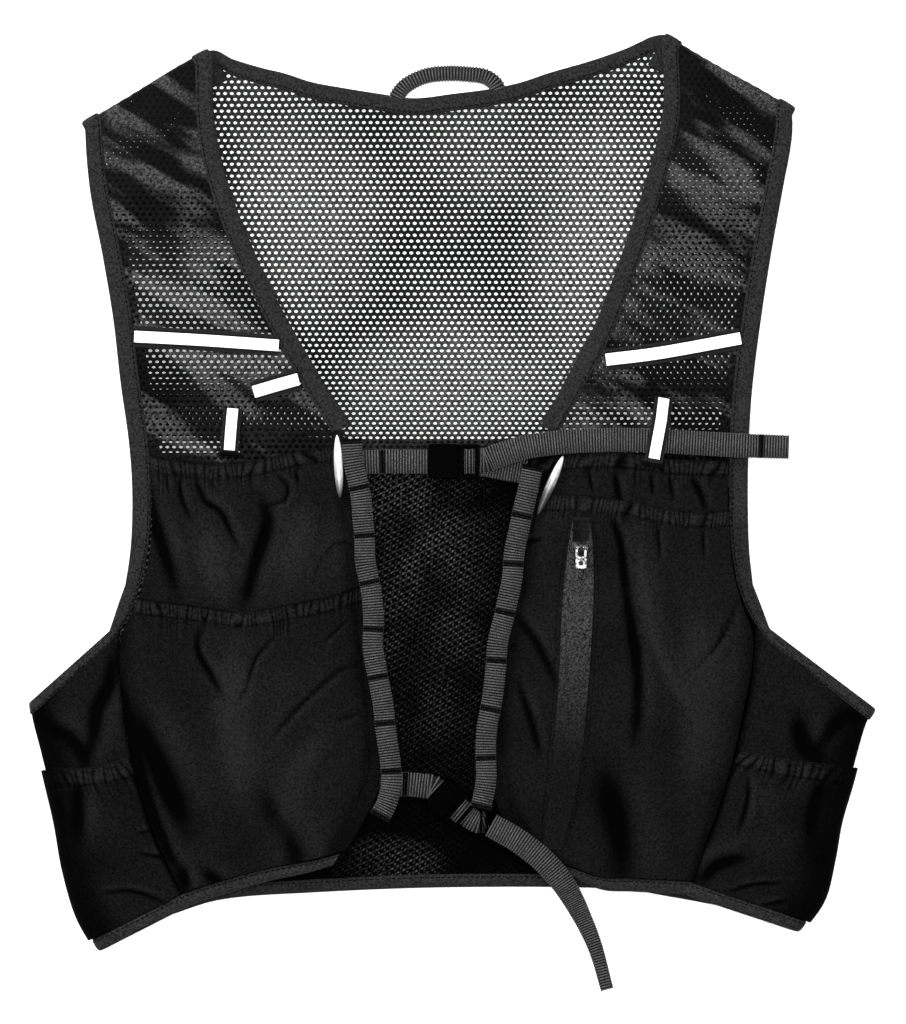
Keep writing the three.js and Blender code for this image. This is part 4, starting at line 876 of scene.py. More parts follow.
def net_thread(name, light, base, highlight_bands=0.0):
    """Glossy knitted thread in short dark and pale runs, with painted sheen: painted paler in broad soft
    patches, in the given light patches and in diagonal bands if asked.
    """
    made = Finish(name)
    place = made.place()
    x, y = made.axes(place)
    broad = made.noise(place, 0.016, 2.0)
    grain = made.noise(place, 0.75, 2.0, 0.7)
    # painted sheen: broad soft patches, the light patches and the bands are painted paler
    painted_sheen = broad.span(0.35, 0.75) * 0.35
    if highlight_bands:
        turned = {"Vector": made.place(turn=highlight_bands), "Scale": (0.016, 0.075, 0.02)}
        highlight_band = made.noise(made.node("ShaderNodeMapping", {}, turned), 1.0, 2.0)
        painted_sheen = painted_sheen * 0.4 + highlight_band.span(0.47, 0.62)
    for cx, cy, wide, tall, strength in light:
        reach = ((x - cx) / wide) ** 2.0 + ((y - cy) / tall) ** 2.0
        painted_sheen = painted_sheen + strength * (1 - reach.span(0.0, 1.0))
    painted_sheen = painted_sheen.least(1.0) * (0.15 + 1.1 * grain.span(0.36, 0.66))
    tone = made.mix(painted_sheen.least(1.0), grey(base[0]), grey(base[1]))
    made.set(Base_Color=tone, Roughness=0.55 + 0.2 * grain, Specular_IOR_Level=0.05)
    return made.bump(grain, 0.2, 0.7)


def hidden_net():
    """The same net where dark cloth lies right behind it: black holes, and threads painted pale in patches as
    painted sheen.
    """
    made = Finish("net_over_cloth")
    place = made.place()
    x, y = made.axes(place)
    u, v = made.axes(made.place(turn=0.62))
    ripple = 2.6 * made.noise(place, 0.06, 1.0)
    px, py = (u + ripple) * (2 * math.pi / HOLE_PITCH), (v + ripple) * (2 * math.pi / HOLE_PITCH)
    root = math.sqrt(3)
    a = (px - py / root).wave()
    b = (px + py / root).wave()
    drift = made.noise(place, 0.03, 2.0)
    knot = (a * b).span(0.02, 0.8)
    grain = made.noise(place, 0.9, 2.0, 0.7)
    # painted sheen: the threads are painted paler towards the left and the top, and in one spot
    side = (1 - x.span(-30, 40)) * y.span(-160, -40)
    sheen_patch = 1 - (((x + 34) / 34) ** 2.0 + ((y + 184) / 17) ** 2.0).span(0.2, 1.0)
    lit = (side * 0.9 + sheen_patch * 0.4 + 0.03) * (0.35 + drift.span(0.35, 0.6))
    shine = (knot + 0.35 * (a * 0.5 + 0.5).span(0.55, 1.0)) * lit * grain.span(0.34, 0.62)
    tone = made.mix(shine.least(1.0), grey(0.0002), grey(0.08))
    made.set(Base_Color=tone, Roughness=0.7, Specular_IOR_Level=0.01)
    return made.bump(knot + 0.4 * grain, 0.5, 0.8)


def binding_cloth():
    """Dark grey knitted binding with fine cross ribs."""
    made = Finish("binding_knit")
    place = made.place()
    x, y = made.axes(place)
    fine = made.noise(place, 0.9, 3.0, 0.8)
    broad = made.noise(place, 0.05, 2.0)
    ribs = ((x + y) * 5.6).wave() * ((x - y) * 5.6).wave()
    tone = made.mix(fine.span(0.32, 0.68), grey(0.0015), grey(0.036))
    tone = made.mix(broad * 0.4, tone, grey(0.011))
    made.set(Base_Color=tone, Roughness=0.8, Specular_IOR_Level=0.05, Sheen_Weight=0.02)
    return made.bump(ribs * 0.4 + fine, 0.2, 0.8)


def webbing_weave(name, low, high):
    """Ribbed webbing between a low and a high colour: the ribs' copy is painted pale as a painted highlight
    on their crowns, the core's copy dark as painted shade between them.
    """
    made = Finish(name)
    place = made.place()
    fine = made.noise(place, 2.2, 2.0, 0.6)
    broad = made.noise(place, 0.12, 2.0)
    tone = made.mix(fine.span(0.3, 0.7) * (0.55 + 0.6 * broad), grey(low), grey(high))
    made.set(Base_Color=tone, Roughness=0.6, Specular_IOR_Level=0.1, Sheen_Weight=0.02)
    return made.bump(fine, 0.14, 0.8)


def plastic():
    """Black moulded plastic, a little scuffed."""
    made = Finish("black_acetal")
    place = made.place()
    mottle = made.noise(place, 1.1, 3.0)
    scuff = made.noise(place, 0.25, 4.0, 0.7).span(0.55, 0.85)
    tone = made.mix(scuff, grey(0.0002), grey(0.0016))
    made.set(Base_Color=tone, Roughness=0.34 + 0.2 * scuff + 0.05 * mottle, Specular_IOR_Level=0.004)
    return made.bump(mottle, 0.03, 0.4)


def reflective_tape():
    """White beaded tape, set to glow a little: painted light that keeps it white."""
    made = Finish("reflective_beads")
    place = made.place()
    beads = made.node("ShaderNodeTexVoronoi", {"feature": "F1"}, {"Vector": place, "Scale": 6.0})
    wear = made.noise(place, 0.3, 3.0).span(0.6, 0.85)
    tone = made.mix(wear * 0.25, grey(0.95), grey(0.78))
    # the strip glows a little: painted light
    made.set(Base_Color=tone, Roughness=0.45 + 0.2 * wear, Emission_Color=tone, Emission_Strength=0.3)
    return made.bump(beads, 0.05, 0.3)


def tape_cloth():
    """The dark woven tape that carries the reflective strips."""
    made = Finish("tape_weave")
    place = made.place()
    x, y = made.axes(place)
    weave = ((x * 5.1).wave() * (y * 5.1).wave()).span(-1, 1)
    fine = made.noise(place, 2.2, 2.0)
    tone = made.mix(weave * 0.5 + fine * 0.5, grey(0.003), grey(0.02))
    made.set(Base_Color=tone, Roughness=0.75, Specular_IOR_Level=0.06)
    return made.bump(weave + fine, 0.12, 0.7)


def bar_metal():
    """Polished bars, painted bright at their upper ends as a painted highlight and darker towards the lower
    as painted shade.
    """
    made = Finish("polished_bar")
    place = made.place()
    y = made.axes(place)[1]
    brushed = made.noise(made.place(scale=(0.003, 0.0006, 0.003)), 1.2, 3.0)
    spots = made.noise(place, 0.35, 3.0).span(0.5, 0.8)
    # painted highlight towards the upper end, painted shade towards the lower
    bright = (y + spots * 4.0 + brushed * 3.0).span(8, 33)
    tone = made.mix(bright, grey(0.03), grey(0.8))
    made.set(Base_Color=tone, Metallic=0.35, Roughness=0.28 + 0.2 * spots, Specular_IOR_Level=0.3)
    return made.bump(brushed, 0.05, 0.5)


def zip_metal(name, bright, dull):
    """Zip metal with dull hollows."""
    made = Finish(name)
    place = made.place()
    brushed = made.noise(place, 1.4, 3.0)
    spots = made.noise(place, 0.55, 3.0, 0.7).span(0.42, 0.66)
    tone = made.mix(spots, grey(bright), grey(dull))
    made.set(Base_Color=tone, Metallic=0.5, Roughness=0.3 + 0.2 * spots, Specular_IOR_Level=0.1)
    return made.bump(brushed, 0.06, 0.6)


def zip_tape_cloth():
    """Matt coated zip tape with a fine grain, painted paler along its upper part and darker towards its lower
    end, as painted light.
    """
    made = Finish("zip_tape_grain")
    place = made.place()
    y = made.axes(place)[1]
    grain = made.noise(place, 0.9, 3.0, 0.8)
    # painted light: paler along the upper part, darker towards the lower end
    upper = y.span(-135, -45)
    lit = grain.span(0.36, 0.66) * (0.12 + 0.88 * upper)
    tone = made.mix(lit, grey(0.001), grey(0.055))
    made.set(Base_Color=tone, Roughness=0.65, Specular_IOR_Level=0.05)
    return made.bump(grain, 0.16, 0.8)


def thread():
    """Black sewing thread."""
    made = Finish("sewing_thread")
    place = made.place()
    ply = made.noise(place, 4.0, 2.0)
    made.set(Base_Color=made.mix(ply, grey(0.0006), grey(0.005)), Roughness=0.7, Specular_IOR_Level=0.02)
    return made.bump(ply, 0.08, 0.6)


def paper_floor():
    """White paper, evenly lit from behind so that it stays white under the holes."""
    made = Finish("white_paper")
    place = made.place()
    grain = made.noise(place, 0.05, 2.0)
    tone = made.mix(grain, grey(0.95), grey(0.92))
    made.set(Base_Color=tone, Roughness=0.9, Specular_IOR_Level=0.1)
    made.set(Emission_Color=tone, Emission_Strength=0.5)
    return made.bump(grain, 0.02, 0.1)


# Painted sheen patches on the back net: x, y, half width, half height, strength, in the part's frame
NECK_LIGHT = [
    (-80, 150, 55, 70, 0.5),
    (75, 130, 45, 90, 0.75),
    (0, 70, 70, 40, 0.6),
    (20, 190, 60, 35, 0.3),
]
CLOTH_BLACK = pocket_cloth()
NET = net_thread("net_thread", NECK_LIGHT, (0.003, 0.1))
# the front net's threads carry painted highlight bands
NET_FRONT = net_thread("net_thread_front", (), (0.0006, 0.06), highlight_bands=0.55)
NET_HIDDEN = hidden_net()
BOUND = binding_cloth()
# lit and shaded copies: the core painted dark as shade between the ribs, the ribs painted pale as a highlight
WEB = webbing_weave("webbing_core_painted_shade", 0.0008, 0.002)
RIB = webbing_weave("webbing_ribs_painted_highlight", 0.012, 0.15)
PLASTIC = plastic()
WHITE = reflective_tape()
TAPE_DARK = tape_cloth()
SILVER = bar_metal()
STEEL = zip_metal("zip_puller_metal", 0.33, 0.01)
DARK_STEEL = zip_metal("zip_slider_metal", 0.03, 0.004)
ZIP_GREY = zip_tape_cloth()
THREAD = thread()


# Mesh makers
def mesh_piece(name, points, faces, material):
    """A mesh from points in millimetres, turned so that its faces point outwards."""
    mesh = bpy.data.meshes.new(name)
    mesh.from_pydata(((np.asarray(points) + SHIFT) / 1000).tolist(), [], [list(f) for f in faces])
    mesh.validate()
    built = bmesh.new()
    built.from_mesh(mesh)
    if built.calc_volume(signed=True) < 0:
        bmesh.ops.reverse_faces(built, faces=built.faces[:])
    for face in built.faces:
        face.smooth = True
    built.to_mesh(mesh)
    built.free()
    mesh.materials.append(material)
    piece = bpy.data.objects.new(name, mesh)
    bpy.context.scene.collection.objects.link(piece)
    return piece


def sharpen(piece, degrees=40):
    piece.data.set_sharp_from_angle(angle=math.radians(degrees))
    return piece


def wall(name, grid, thickness, material, shade=None):
    """A cloth wall: a grid of middle points, thickened to both sides and closed along its borders."""
    rows, columns = grid.shape[:2]
    normal = unit(np.cross(np.gradient(grid, axis=0), np.gradient(grid, axis=1)))
    points = np.concatenate([(grid + normal * h).reshape(-1, 3) for h in (thickness / 2, -thickness / 2)])
    index = np.arange(rows * columns).reshape(rows, columns)
    back = rows * columns
    corner = [index[:-1, :-1], index[1:, :-1], index[1:, 1:], index[:-1, 1:]]
    top = np.stack(corner, -1).reshape(-1, 4)
    faces = [top, top[:, ::-1] + back]
    rim = np.concatenate([index[0, :], index[1:, -1], index[-1, -2::-1], index[-2:0:-1, 0]])
    after = np.roll(rim, -1)
    faces.append(np.stack([rim, after, after + back, rim + back], -1))
    piece = sharpen(mesh_piece(name, points, np.concatenate(faces).tolist(), material), 60)
    # the painted shade of each point, 0.5 where none is given, stored for the cloth's colour
    tone = np.full((rows, columns), 0.5) if shade is None else shade
    stored = piece.data.attributes.new("shade", "FLOAT", "POINT")
    stored.data.foreach_set("value", np.tile(np.clip(tone, 0, 1).ravel(), 2).astype(np.float32))
    return piece


def tube_faces(count, size):
    """The faces of a tube of count rings with size points each, capped at both ends."""
    index = np.arange(count * size).reshape(count, size)
    after = np.roll(index, -1, axis=1)
    faces = np.stack([index[:-1], after[:-1], after[1:], index[1:]], -1).reshape(-1, 4).tolist()
    return faces + [index[0].tolist()[::-1], index[-1].tolist()]


def sweep(name, at, across, up, profile, material, narrow=None):
    """A closed profile of (across, up) points carried along frames, its two ends capped."""
    profile = np.asarray(profile, float)
    count, size = len(at), len(profile)
    wide = np.ones(count) if narrow is None else np.asarray(narrow, float)
    side = profile[None, :, 0, None] * wide[:, None, None]
    points = at[:, None] + across[:, None] * side + up[:, None] * profile[None, :, 1, None]
    return sharpen(mesh_piece(name, points.reshape(-1, 3), tube_faces(count, size), material), 50)


def line_frames(points, count, across=None):
    """Evenly spaced frames of a flat band along a smooth line through points."""
    at = smooth_line(points, count)
    tangent = unit(np.gradient(at, axis=0))
    if across is None:
        across = unit(np.stack([-tangent[:, 1], tangent[:, 0], np.zeros(count)], -1))
    else:
        across = np.broadcast_to(np.asarray(across, float), at.shape)
    up = unit(np.cross(tangent, across))
    return at, across, up


def edge_frames(at, a, b, step_a, step_b, hand):
    """Frames on a surface's edge, their across pointing into the surface."""
    a, b = arrays(a, b)
    here = at(a, b)
    return here, unit(at(a + step_a, b + step_b) - here), normal_of(at, a, b, hand)


def resample(frames, spacing):
    """The same frames, evenly spaced along their line."""
    at = frames[0]
    length = run_length(at)
    even = np.linspace(0, length[-1], max(4, int(length[-1] / spacing)))
    spread = lambda values: np.stack([np.interp(even, length, values[:, i]) for i in range(3)], -1)
    return [spread(at), unit(spread(frames[1])), unit(spread(frames[2]))]


# What repeats along a line: one tree of nodes for stitches, ribs and tacks
def repeat_tree():
    tree = bpy.data.node_groups.new("repeat_along_line", "GeometryNodeTree")
    sockets = {"Pitch": "Float", "Size": "Vector", "Sides": "Int", "Finish": "Material"}
    for name, kind in {"Geometry": "Geometry", **sockets}.items():
        tree.interface.new_socket(name, in_out="INPUT", socket_type="NodeSocket" + kind)
    tree.interface.new_socket("Geometry", in_out="OUTPUT", socket_type="NodeSocketGeometry")
    given = tree.nodes.new("NodeGroupInput").outputs

    def add(kind, settings=None, **values):
        made = tree.nodes.new(kind)
        for key, value in (settings or {}).items():
            setattr(made, key, value)
        for key, value in values.items():
            if isinstance(value, bpy.types.NodeSocket):
                tree.links.new(value, made.inputs[key])
            else:
                made.inputs[key].default_value = value
        return made.outputs[0]

    def read(name):
        return add("GeometryNodeInputNamedAttribute", {"data_type": "FLOAT_VECTOR"}, Name=name)

    line = add("GeometryNodeMeshToCurve", Mesh=given["Geometry"])
    even = add("GeometryNodeResampleCurve", {"mode": "LENGTH"}, Curve=line, Length=given["Pitch"])
    stored = {"data_type": "FLOAT_VECTOR", "domain": "POINT"}
    tangent = add("GeometryNodeInputTangent")
    kept = add("GeometryNodeStoreNamedAttribute", stored, Geometry=even, Name="along", Value=tangent)
    spots = add("GeometryNodeCurveToPoints", {"mode": "EVALUATED"}, Curve=kept)
    bar = add("GeometryNodeMeshCylinder", Vertices=given["Sides"], Radius=0.5, Depth=1.0)
    lying = add("GeometryNodeTransform", Geometry=bar, Rotation=(math.pi / 2, 0, 0))
    soft = add("GeometryNodeSetShadeSmooth", Geometry=lying)
    facing = add("FunctionNodeAlignEulerToVector", {"axis": "Z"}, Vector=read("up"))
    pivot = {"axis": "X", "pivot_axis": "Z"}
    aligned = add("FunctionNodeAlignEulerToVector", pivot, Rotation=facing, Vector=read("along"))
    wide = tree.nodes.new("ShaderNodeVectorMath")
    wide.operation = "MULTIPLY"
    tree.links.new(given["Size"], wide.inputs[0])
    tree.links.new(read("spread"), wide.inputs[1])
    placing = {"Points": spots, "Instance": soft, "Rotation": aligned, "Scale": wide.outputs[0]}
    many = add("GeometryNodeInstanceOnPoints", **placing)
    real = add("GeometryNodeRealizeInstances", Geometry=many)
    done = add("GeometryNodeSetMaterial", Geometry=real, Material=given["Finish"])
    tree.links.new(done, tree.nodes.new("NodeGroupOutput").inputs[0])
    return tree


REPEAT = repeat_tree()


def repeat(name, lines, pitch, size, material, sides=6, lift=0.0):
    """Small bars of a size (along, across, up) every pitch along lines of (at, across, up, narrow)."""
    points, ups, spreads, edges = [], [], [], []
    for at, _, up, *narrow in lines:
        first = len(points)
        points += list(at + up * lift)
        ups += list(up)
        wide = narrow[0] if narrow else np.ones(len(at))
        spreads += [(1, n, 1) for n in wide]
        edges += [(i, i + 1) for i in range(first, first + len(at) - 1)]
    mesh = bpy.data.meshes.new(name)
    mesh.from_pydata(((np.array(points) + SHIFT) / 1000).tolist(), edges, [])
    for title, values in (("up", ups), ("spread", spreads)):
        stored = mesh.attributes.new(title, "FLOAT_VECTOR", "POINT")
        stored.data.foreach_set("vector", np.array(values, np.float32).ravel())
    source = bpy.data.objects.new(name + "_line", mesh)
    bpy.context.scene.collection.objects.link(source)
    modifier = source.modifiers.new("repeat", "NODES")
    modifier.node_group = REPEAT
    given = {"Pitch": pitch / 1000, "Size": [n / 1000 for n in size], "Sides": sides, "Finish": material}
    for item in REPEAT.interface.items_tree:
        if item.in_out == "INPUT" and item.name in given:
            modifier[item.identifier] = given[item.name]
    return bake(source, name)


def bake(source, name):
    """The evaluated object as a plain mesh, its modifier gone."""
    graph = bpy.context.evaluated_depsgraph_get()
    mesh = bpy.data.meshes.new_from_object(source.evaluated_get(graph), depsgraph=graph)
    mesh.name = name
    piece = bpy.data.objects.new(name, mesh)
    bpy.context.scene.collection.objects.link(piece)
    bpy.data.objects.remove(source)
    return piece


def join(name, pieces):
    """Several pieces as one, with all their materials."""
    keep = pieces[0]
    if len(pieces) > 1:
        with bpy.context.temp_override(
            active_object=keep, object=keep, selected_objects=pieces, selected_editable_objects=pieces
        ):
            bpy.ops.object.join()
    keep.name = name
    keep.data.name = name
    return keep


def settle(piece, *nodes, body="vest"):
    """Puts a finished piece on its body, in place of its plain solids."""
    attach(piece, body)
    if nodes:
        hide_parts(*nodes)
    return piece


def net(name, place, inside, x_range, y_rows, material, open_at=None):
    """A knitted net: a honeycomb of six-sided holes over the plan, with walls round every hole."""
    xs = np.arange(x_range[0], x_range[1], HOLE_PITCH)
    ys = np.array(y_rows)
    shift = (np.arange(len(ys)) % 2) * HOLE_PITCH / 2
    cx, cy = xs[None, :] + shift[:, None], np.repeat(ys[:, None], len(xs), 1)
    tall = np.gradient(ys) / (HOLE_PITCH * math.sqrt(0.75))
    keep = inside(cx, cy)
    cell = np.full(keep.shape, -1)
    cell[keep] = np.arange(keep.sum())
    angle = np.radians(30 + 60 * np.arange(6))
    radius = HOLE_RADIUS * (np.ones(cx.shape) if open_at is None else open_at(cx, cy))[..., None]
    hx = cx[..., None] + radius * np.cos(angle)
    hy = cy[..., None] + radius * np.sin(angle) * tall[:, None, None] * HOLE_HEIGHT
    px, py = hx[keep].ravel(), hy[keep].ravel()
    nudge = 0.4
    middle = place(px, py)
    along_x = place(px + nudge, py) - place(px - nudge, py)
    along_y = place(px, py + nudge) - place(px, py - nudge)
    normal = unit(np.cross(along_x, along_y))
    rows, columns = keep.shape
    j, i = np.nonzero(keep)
    odd = j % 2

    def neighbour(dj, di):
        nj, ni = j + dj, i + di
        good = (nj < rows) & (ni < columns) & (ni >= 0)
        found = np.full(len(j), -1)
        found[good] = cell[nj[good], ni[good]]
        return found

    own = cell[j, i]
    right, upper_right, upper_left = neighbour(0, 1), neighbour(1, odd), neighbour(1, odd - 1)
    faces = []
    strands = ((right, (5, 3, 2, 0)), (upper_right, (0, 4, 3, 1)), (upper_left, (1, 5, 4, 2)))
    for other, (a, b, c, d) in strands:
        good = other >= 0
        mine, theirs = own[good] * 6, other[good] * 6
        faces.append(np.stack([mine + a, theirs + b, theirs + c, mine + d], -1))
    triangles = []
    knots = ((right, upper_right, (0, 2, 4)), (upper_right, upper_left, (1, 3, 5)))
    for first, second, (a, b, c) in knots:
        good = (first >= 0) & (second >= 0)
        triangles.append(np.stack([own[good] * 6 + a, first[good] * 6 + b, second[good] * 6 + c], -1))
    quads, triangles = np.concatenate(faces), np.concatenate(triangles)
    count = len(px)
    starts = np.concatenate([quads.ravel(), triangles.ravel()])
    ends = np.concatenate([np.roll(quads, -1, 1).ravel(), np.roll(triangles, -1, 1).ravel()])
    border = ~np.isin(starts * count + ends, ends * count + starts)
    a, b = starts[border], ends[border]
    rim = np.stack([b, a, a + count, b + count], -1)
    used = np.zeros(2 * count, bool)
    everything = [quads, quads[:, ::-1] + count, rim, triangles, triangles[:, ::-1] + count]
    for group in everything:
        used[group.ravel()] = True
    renumber = np.cumsum(used) - 1
    points = np.concatenate([middle + normal * NET_THICKNESS / 2, middle - normal * NET_THICKNESS / 2])[used]
    faces = [face for group in everything for face in renumber[group].tolist()]
    return mesh_piece(name, points, faces, material)


def rows_between(low, high, pitch_at):
    rows = [low]
    while rows[-1] < high:
        rows.append(rows[-1] + pitch_at(rows[-1]))
    return rows


# Back mesh: an open net above the rear pocket, and the same net over dark cloth below it
NET_LOW = 0.535 * VEST_LENGTH
ROW_PITCH = curve([(255, 2.35), (290, 2.7), (340, 3.05), (400, 3.1), (460, 3.05)], 1)


def sunk(place):
    """The back lies a little lower where the shoulders' tails lie over it."""
    under = smooth(place[..., 1], 425, 440) * smooth(np.abs(place[..., 0] - 8), 86, 96)
    place[..., 2] -= 1.15 * under
    return place


def on_back(x, y):
    s, q = back_shares(x, y)
    place = back_at(s, q)
    place[..., 0], place[..., 1] = x, y
    return sunk(place)


def inside_back(x, y):
    s, q = back_shares(x, y)
    left, right = back_side(left_wing, 1, q), back_side(right_wing, 2, q)
    clear = np.minimum(x - left[..., 0], right[..., 0] - x)
    top = back_at(s, np.ones_like(q))[..., 1]
    return (clear > 2) & (y < top - 2.2)


def back_row(s, y):
    """The q at which the back reaches that y."""
    return search(lambda q: back_at(s, q)[..., 1] < y, s, BACK_REACH, BACK_STEPS)


back_net = net("back_mesh", on_back, inside_back, (-190, 180), rows_between(NET_LOW, 478, ROW_PITCH), NET)
lower_s, lower_q = grid_of(np.linspace(0, 1, 90), np.linspace(0, 1, 60))
lower_grid = back_at(lower_s, lower_q * back_row(lower_s[:, 0], NET_LOW + 3)[:, None])
lower_grid[..., 2] += 0.35 * swell(lower_grid[..., 0], lower_grid[..., 1], 40, 5)
back_lower = wall("back_mesh_lower", lower_grid, 0.8, NET_HIDDEN)
settle(back_net, "back_mesh")
settle(back_lower)

rear_s, rear_q = grid_of(np.linspace(0, 1, 40), np.linspace(0, 1, 30))
rear_grid = back_at(lerp(0.16, 0.84, rear_s), lerp(0.06, 0.5, rear_q))
rear_grid[..., 2] = REAR_PANEL / 2
settle(wall("rear_pocket_panel", rear_grid, REAR_PANEL, CLOTH_BLACK), "rear_pocket_panel")

# Front meshes, each with a lining behind the pockets
LINING_TOP = 0.505
NET_ROW = 2.95
for name, panel in (("left", left_front), ("right", right_front)):

    def on_front(x, y, panel=panel):
        place, over, _ = panel.unrolled(x, y)
        wave = 0.7 * swell(x, y, 34, 61 + panel.hand) * smooth(y, 262, 300) * (1 - smooth(y, 420, 440))
        place[..., 2] += np.where(over > 0, 0, wave)
        return place

    def inside_front(x, y, panel=panel):
        _, over, along = panel.unrolled(x, y)
        v = y / VEST_LENGTH
        half = np.abs(panel.x(1, v) - panel.x(0, v)) / 2
        flat = (np.abs(x - panel.x(0.5, v)) < half - 1.6) & (over <= 0)
        under = (over > 0) & (over < math.pi * SHOULDER_FOLD + SHOULDER_TAIL - 2)
        return flat | (under & (along > 0.02) & (along < 0.98))

    xs = sorted((panel.outer(0.9) * HALF_WIDTH, panel.inner(0.5) * HALF_WIDTH))
    front_net = net(
        "front_mesh_" + name,
        on_front,
        inside_front,
        (xs[0] - 14, xs[1] + 14),
        rows_between(0.5 * VEST_LENGTH, 520, lambda y: NET_ROW),
        NET_FRONT,
        lambda x, y: 1 - 0.72 * smooth(y, 372, 420) - 0.25 * smooth(swell(x + y, x - y, 40, 67), 0.1, 0.8),
    )
    s, v = grid_of(np.linspace(0, 1, 24), np.linspace(0, 1, 60))
    v = lerp(panel.hem(s), LINING_TOP, v)
    grid = point(panel.x(s, v), v * VEST_LENGTH, panel.z(s, v))
    settle(front_net, "front_mesh_" + name)
    settle(wall("front_lining_" + name, grid, 0.8, NET_HIDDEN))

# Pockets
for name, pocket in (
    ("upper_pocket_left", left_upper),
    ("lower_pocket_left", left_lower),
    ("upper_pocket_right", right_upper),
    ("zip_pocket_right", zip_pocket),
):
    rows = np.concatenate([np.linspace(0, 0.75, 46, endpoint=False), np.linspace(0.75, 1, 38)])
    a, b = grid_of(np.linspace(0, 1, 250), rows)
    grid, shade = pocket.at(a, b)
    piece = wall(name, grid, CLOTH, CLOTH_BLACK, shade)
    lines = []
    for drop in (1.4, BAND):
        across = np.linspace(0.01, 0.99, 260)
        height = (pocket.mouth(across) - pocket.low(across)) * VEST_LENGTH
        lines.append(level(pocket.at(across, 1 - drop / height)[0], (0, 1, 0)))
    stitches = repeat(name + "_stitches", lines, 2.3, (1.6, 0.4, 0.4), THREAD, lift=CLOTH / 2)
    settle(join(name, [piece, stitches]), name)


# Wings and side pockets
def side_shade(a, dark, shade):
    """Painted shade: cloth that turns away round the side is painted darker, and so is the cloth at the seam.
    """
    away = smooth(a, 0.62, 0.98)
    # painted shade: darker round the side and at the seam
    return (0.45 + 0.6 * dark + 0.8 * shade) * (1 - 0.8 * away) - 0.25 * (1 - smooth(a, 0, 0.05))


def side_pocket_surface(surface, table):
    mouth = curve(surface.side["side_mouth"], 1)
    length = np.linalg.norm(surface.at(0.5, 1) - surface.at(0.5, 0))
    hem_start = (WING_BINDING_WIDTH + SEAM_GAP) / length

    def at(a, b):
        a, b = arrays(a, b)
        flat = np.minimum(a, 1)
        row = search(lambda row: surface.at(flat, row)[..., 1] < mouth(flat) * VEST_LENGTH, flat, 1, 12)
        t = lerp(hem_start, row, b)
        across = np.sin(math.pi * np.clip(a, 0, 1)) ** 0.8
        drop = (1 - b) * (row - hem_start) * length
        broad = 0.9 * np.sin(2 * math.pi * 5 * a) * smooth(b, 0.55, 1)
        uneven = np.clip(0.6 + 0.4 * swell(a * 60, a * 0, 19, 72), 0.1, 1)
        phase = 13 * a + 0.8 * swell(a * 60, a * 0, 17, 71) + 0.05 * drop
        folded, dark = gathers(phase, drop, uneven, BAND + 1)
        here = surface.at(a, t)
        creases, shade = creased(table, here[..., 0], here[..., 1])
        slack = 0.7 * swell(here[..., 0], here[..., 1], 30, 73 + surface.hand) * smooth(b, 0, 0.3)
        puff = across * (SIDE_POCKET_DEPTH * smooth(b, 0, 0.5) + broad + 1.3 * folded + slack + creases)
        clear = LAYER + FOLD_CLEARANCE * smooth(a, 0.8, 1)
        lifted = here + normal_of(surface.at, a, t, -surface.hand) * (clear + np.maximum(puff, 0))[..., None]
        # painted shade of the gathers, creases and slack, darker round the side
        return lifted, side_shade(a, dark, shade + 0.2 * slack)

    return at


for name, surface, wing_table, side_table in (
    ("left", left_wing, LEFT_WING_CREASES, LEFT_SIDE_CREASES),
    ("right", right_wing, RIGHT_WING_CREASES, RIGHT_SIDE_CREASES),
):
    stations = np.concatenate([np.linspace(0, 1, 60), np.linspace(1.04, 2, 22), np.linspace(2.1, 3, 8)])
    a, t = grid_of(stations, np.linspace(0, 1, 60))
    grid = surface.at(a, t)
    ease = np.clip(1.2 - a, 0, 1) * np.sin(math.pi * np.clip(a, 0, 1))
    creases, shade = creased(wing_table, grid[..., 0], grid[..., 1])
    rise = ease * (0.8 * swell(grid[..., 0], grid[..., 1], 26, 81 + surface.hand) + 0.5 + creases)
    grid = grid + normal_of(surface.at, a, t, -surface.hand) * rise[..., None]
    # painted shade of the wing's creases, darker round the side
    shade = side_shade(a, 0, shade * (a < 1.2))
    settle(wall("side_panel_" + name, grid, CLOTH, CLOTH_BLACK, shade), "side_panel_" + name)
    at = side_pocket_surface(surface, side_table)
    stations = np.concatenate([np.linspace(0.01, 1, 130), np.linspace(1.02, 1.6, 20)])
    a, b = grid_of(stations, np.linspace(0, 1, 90))
    grid, shade = at(a, b)
    piece = wall("side_pocket_" + name, grid, CLOTH, CLOTH_BLACK, shade)
    across = np.linspace(0.03, 1.0, 120)
    lines = [level(at(across, b)[0], (0, 1, 0)) for b in (0.97, 0.86)]
    stitches = repeat("side_stitches_" + name, lines, 2.3, (1.7, 0.45, 0.45), THREAD, lift=CLOTH / 2)
    settle(join("side_pocket_" + name, [piece, stitches]), "side_pocket_" + name)


# Bound edges
def bound_profile(width, top=1.35, under=-0.85):
    """The binding's section: folded over the edge, a little fuller on top near the stitching."""
    return [
        (width, 0.35),
        (width - 0.15, top * 0.62),
        (width - 0.9, top * 0.86),
        (width * 0.62, top),
        (width * 0.3, top * 0.97),
        (0.5, top * 0.8),
        (-0.35, top * 0.42),
        (-0.6, 0),
        (-0.35, under * 0.6),
        (0.6, under),
        (width * 0.5, under),
        (width, under * 0.8),
    ]


def bind(name, frames, width, narrow=None, top=1.35, under=-0.85):
    spread = np.ones(len(frames[0])) if narrow is None else narrow
    here, across, up = frames
    length = run_length(here)
    pucker = 0.09 * np.sin(length * 2 * math.pi / 2.9) + 0.05 * np.sin(length * 0.7)
    profile = bound_profile(width, top, under)
    piece = sweep(name, here + up * pucker[:, None], across, up, profile, BOUND, spread)
    side = (width - 1.5) * spread
    line = [here + across * side[:, None] + up * (top * 0.9), across, up]
    stitches = repeat(name + "_stitches", [line], 2.9, (2.1, 0.5, 0.4), THREAD)
    settle(join(name, [piece, stitches]), name)


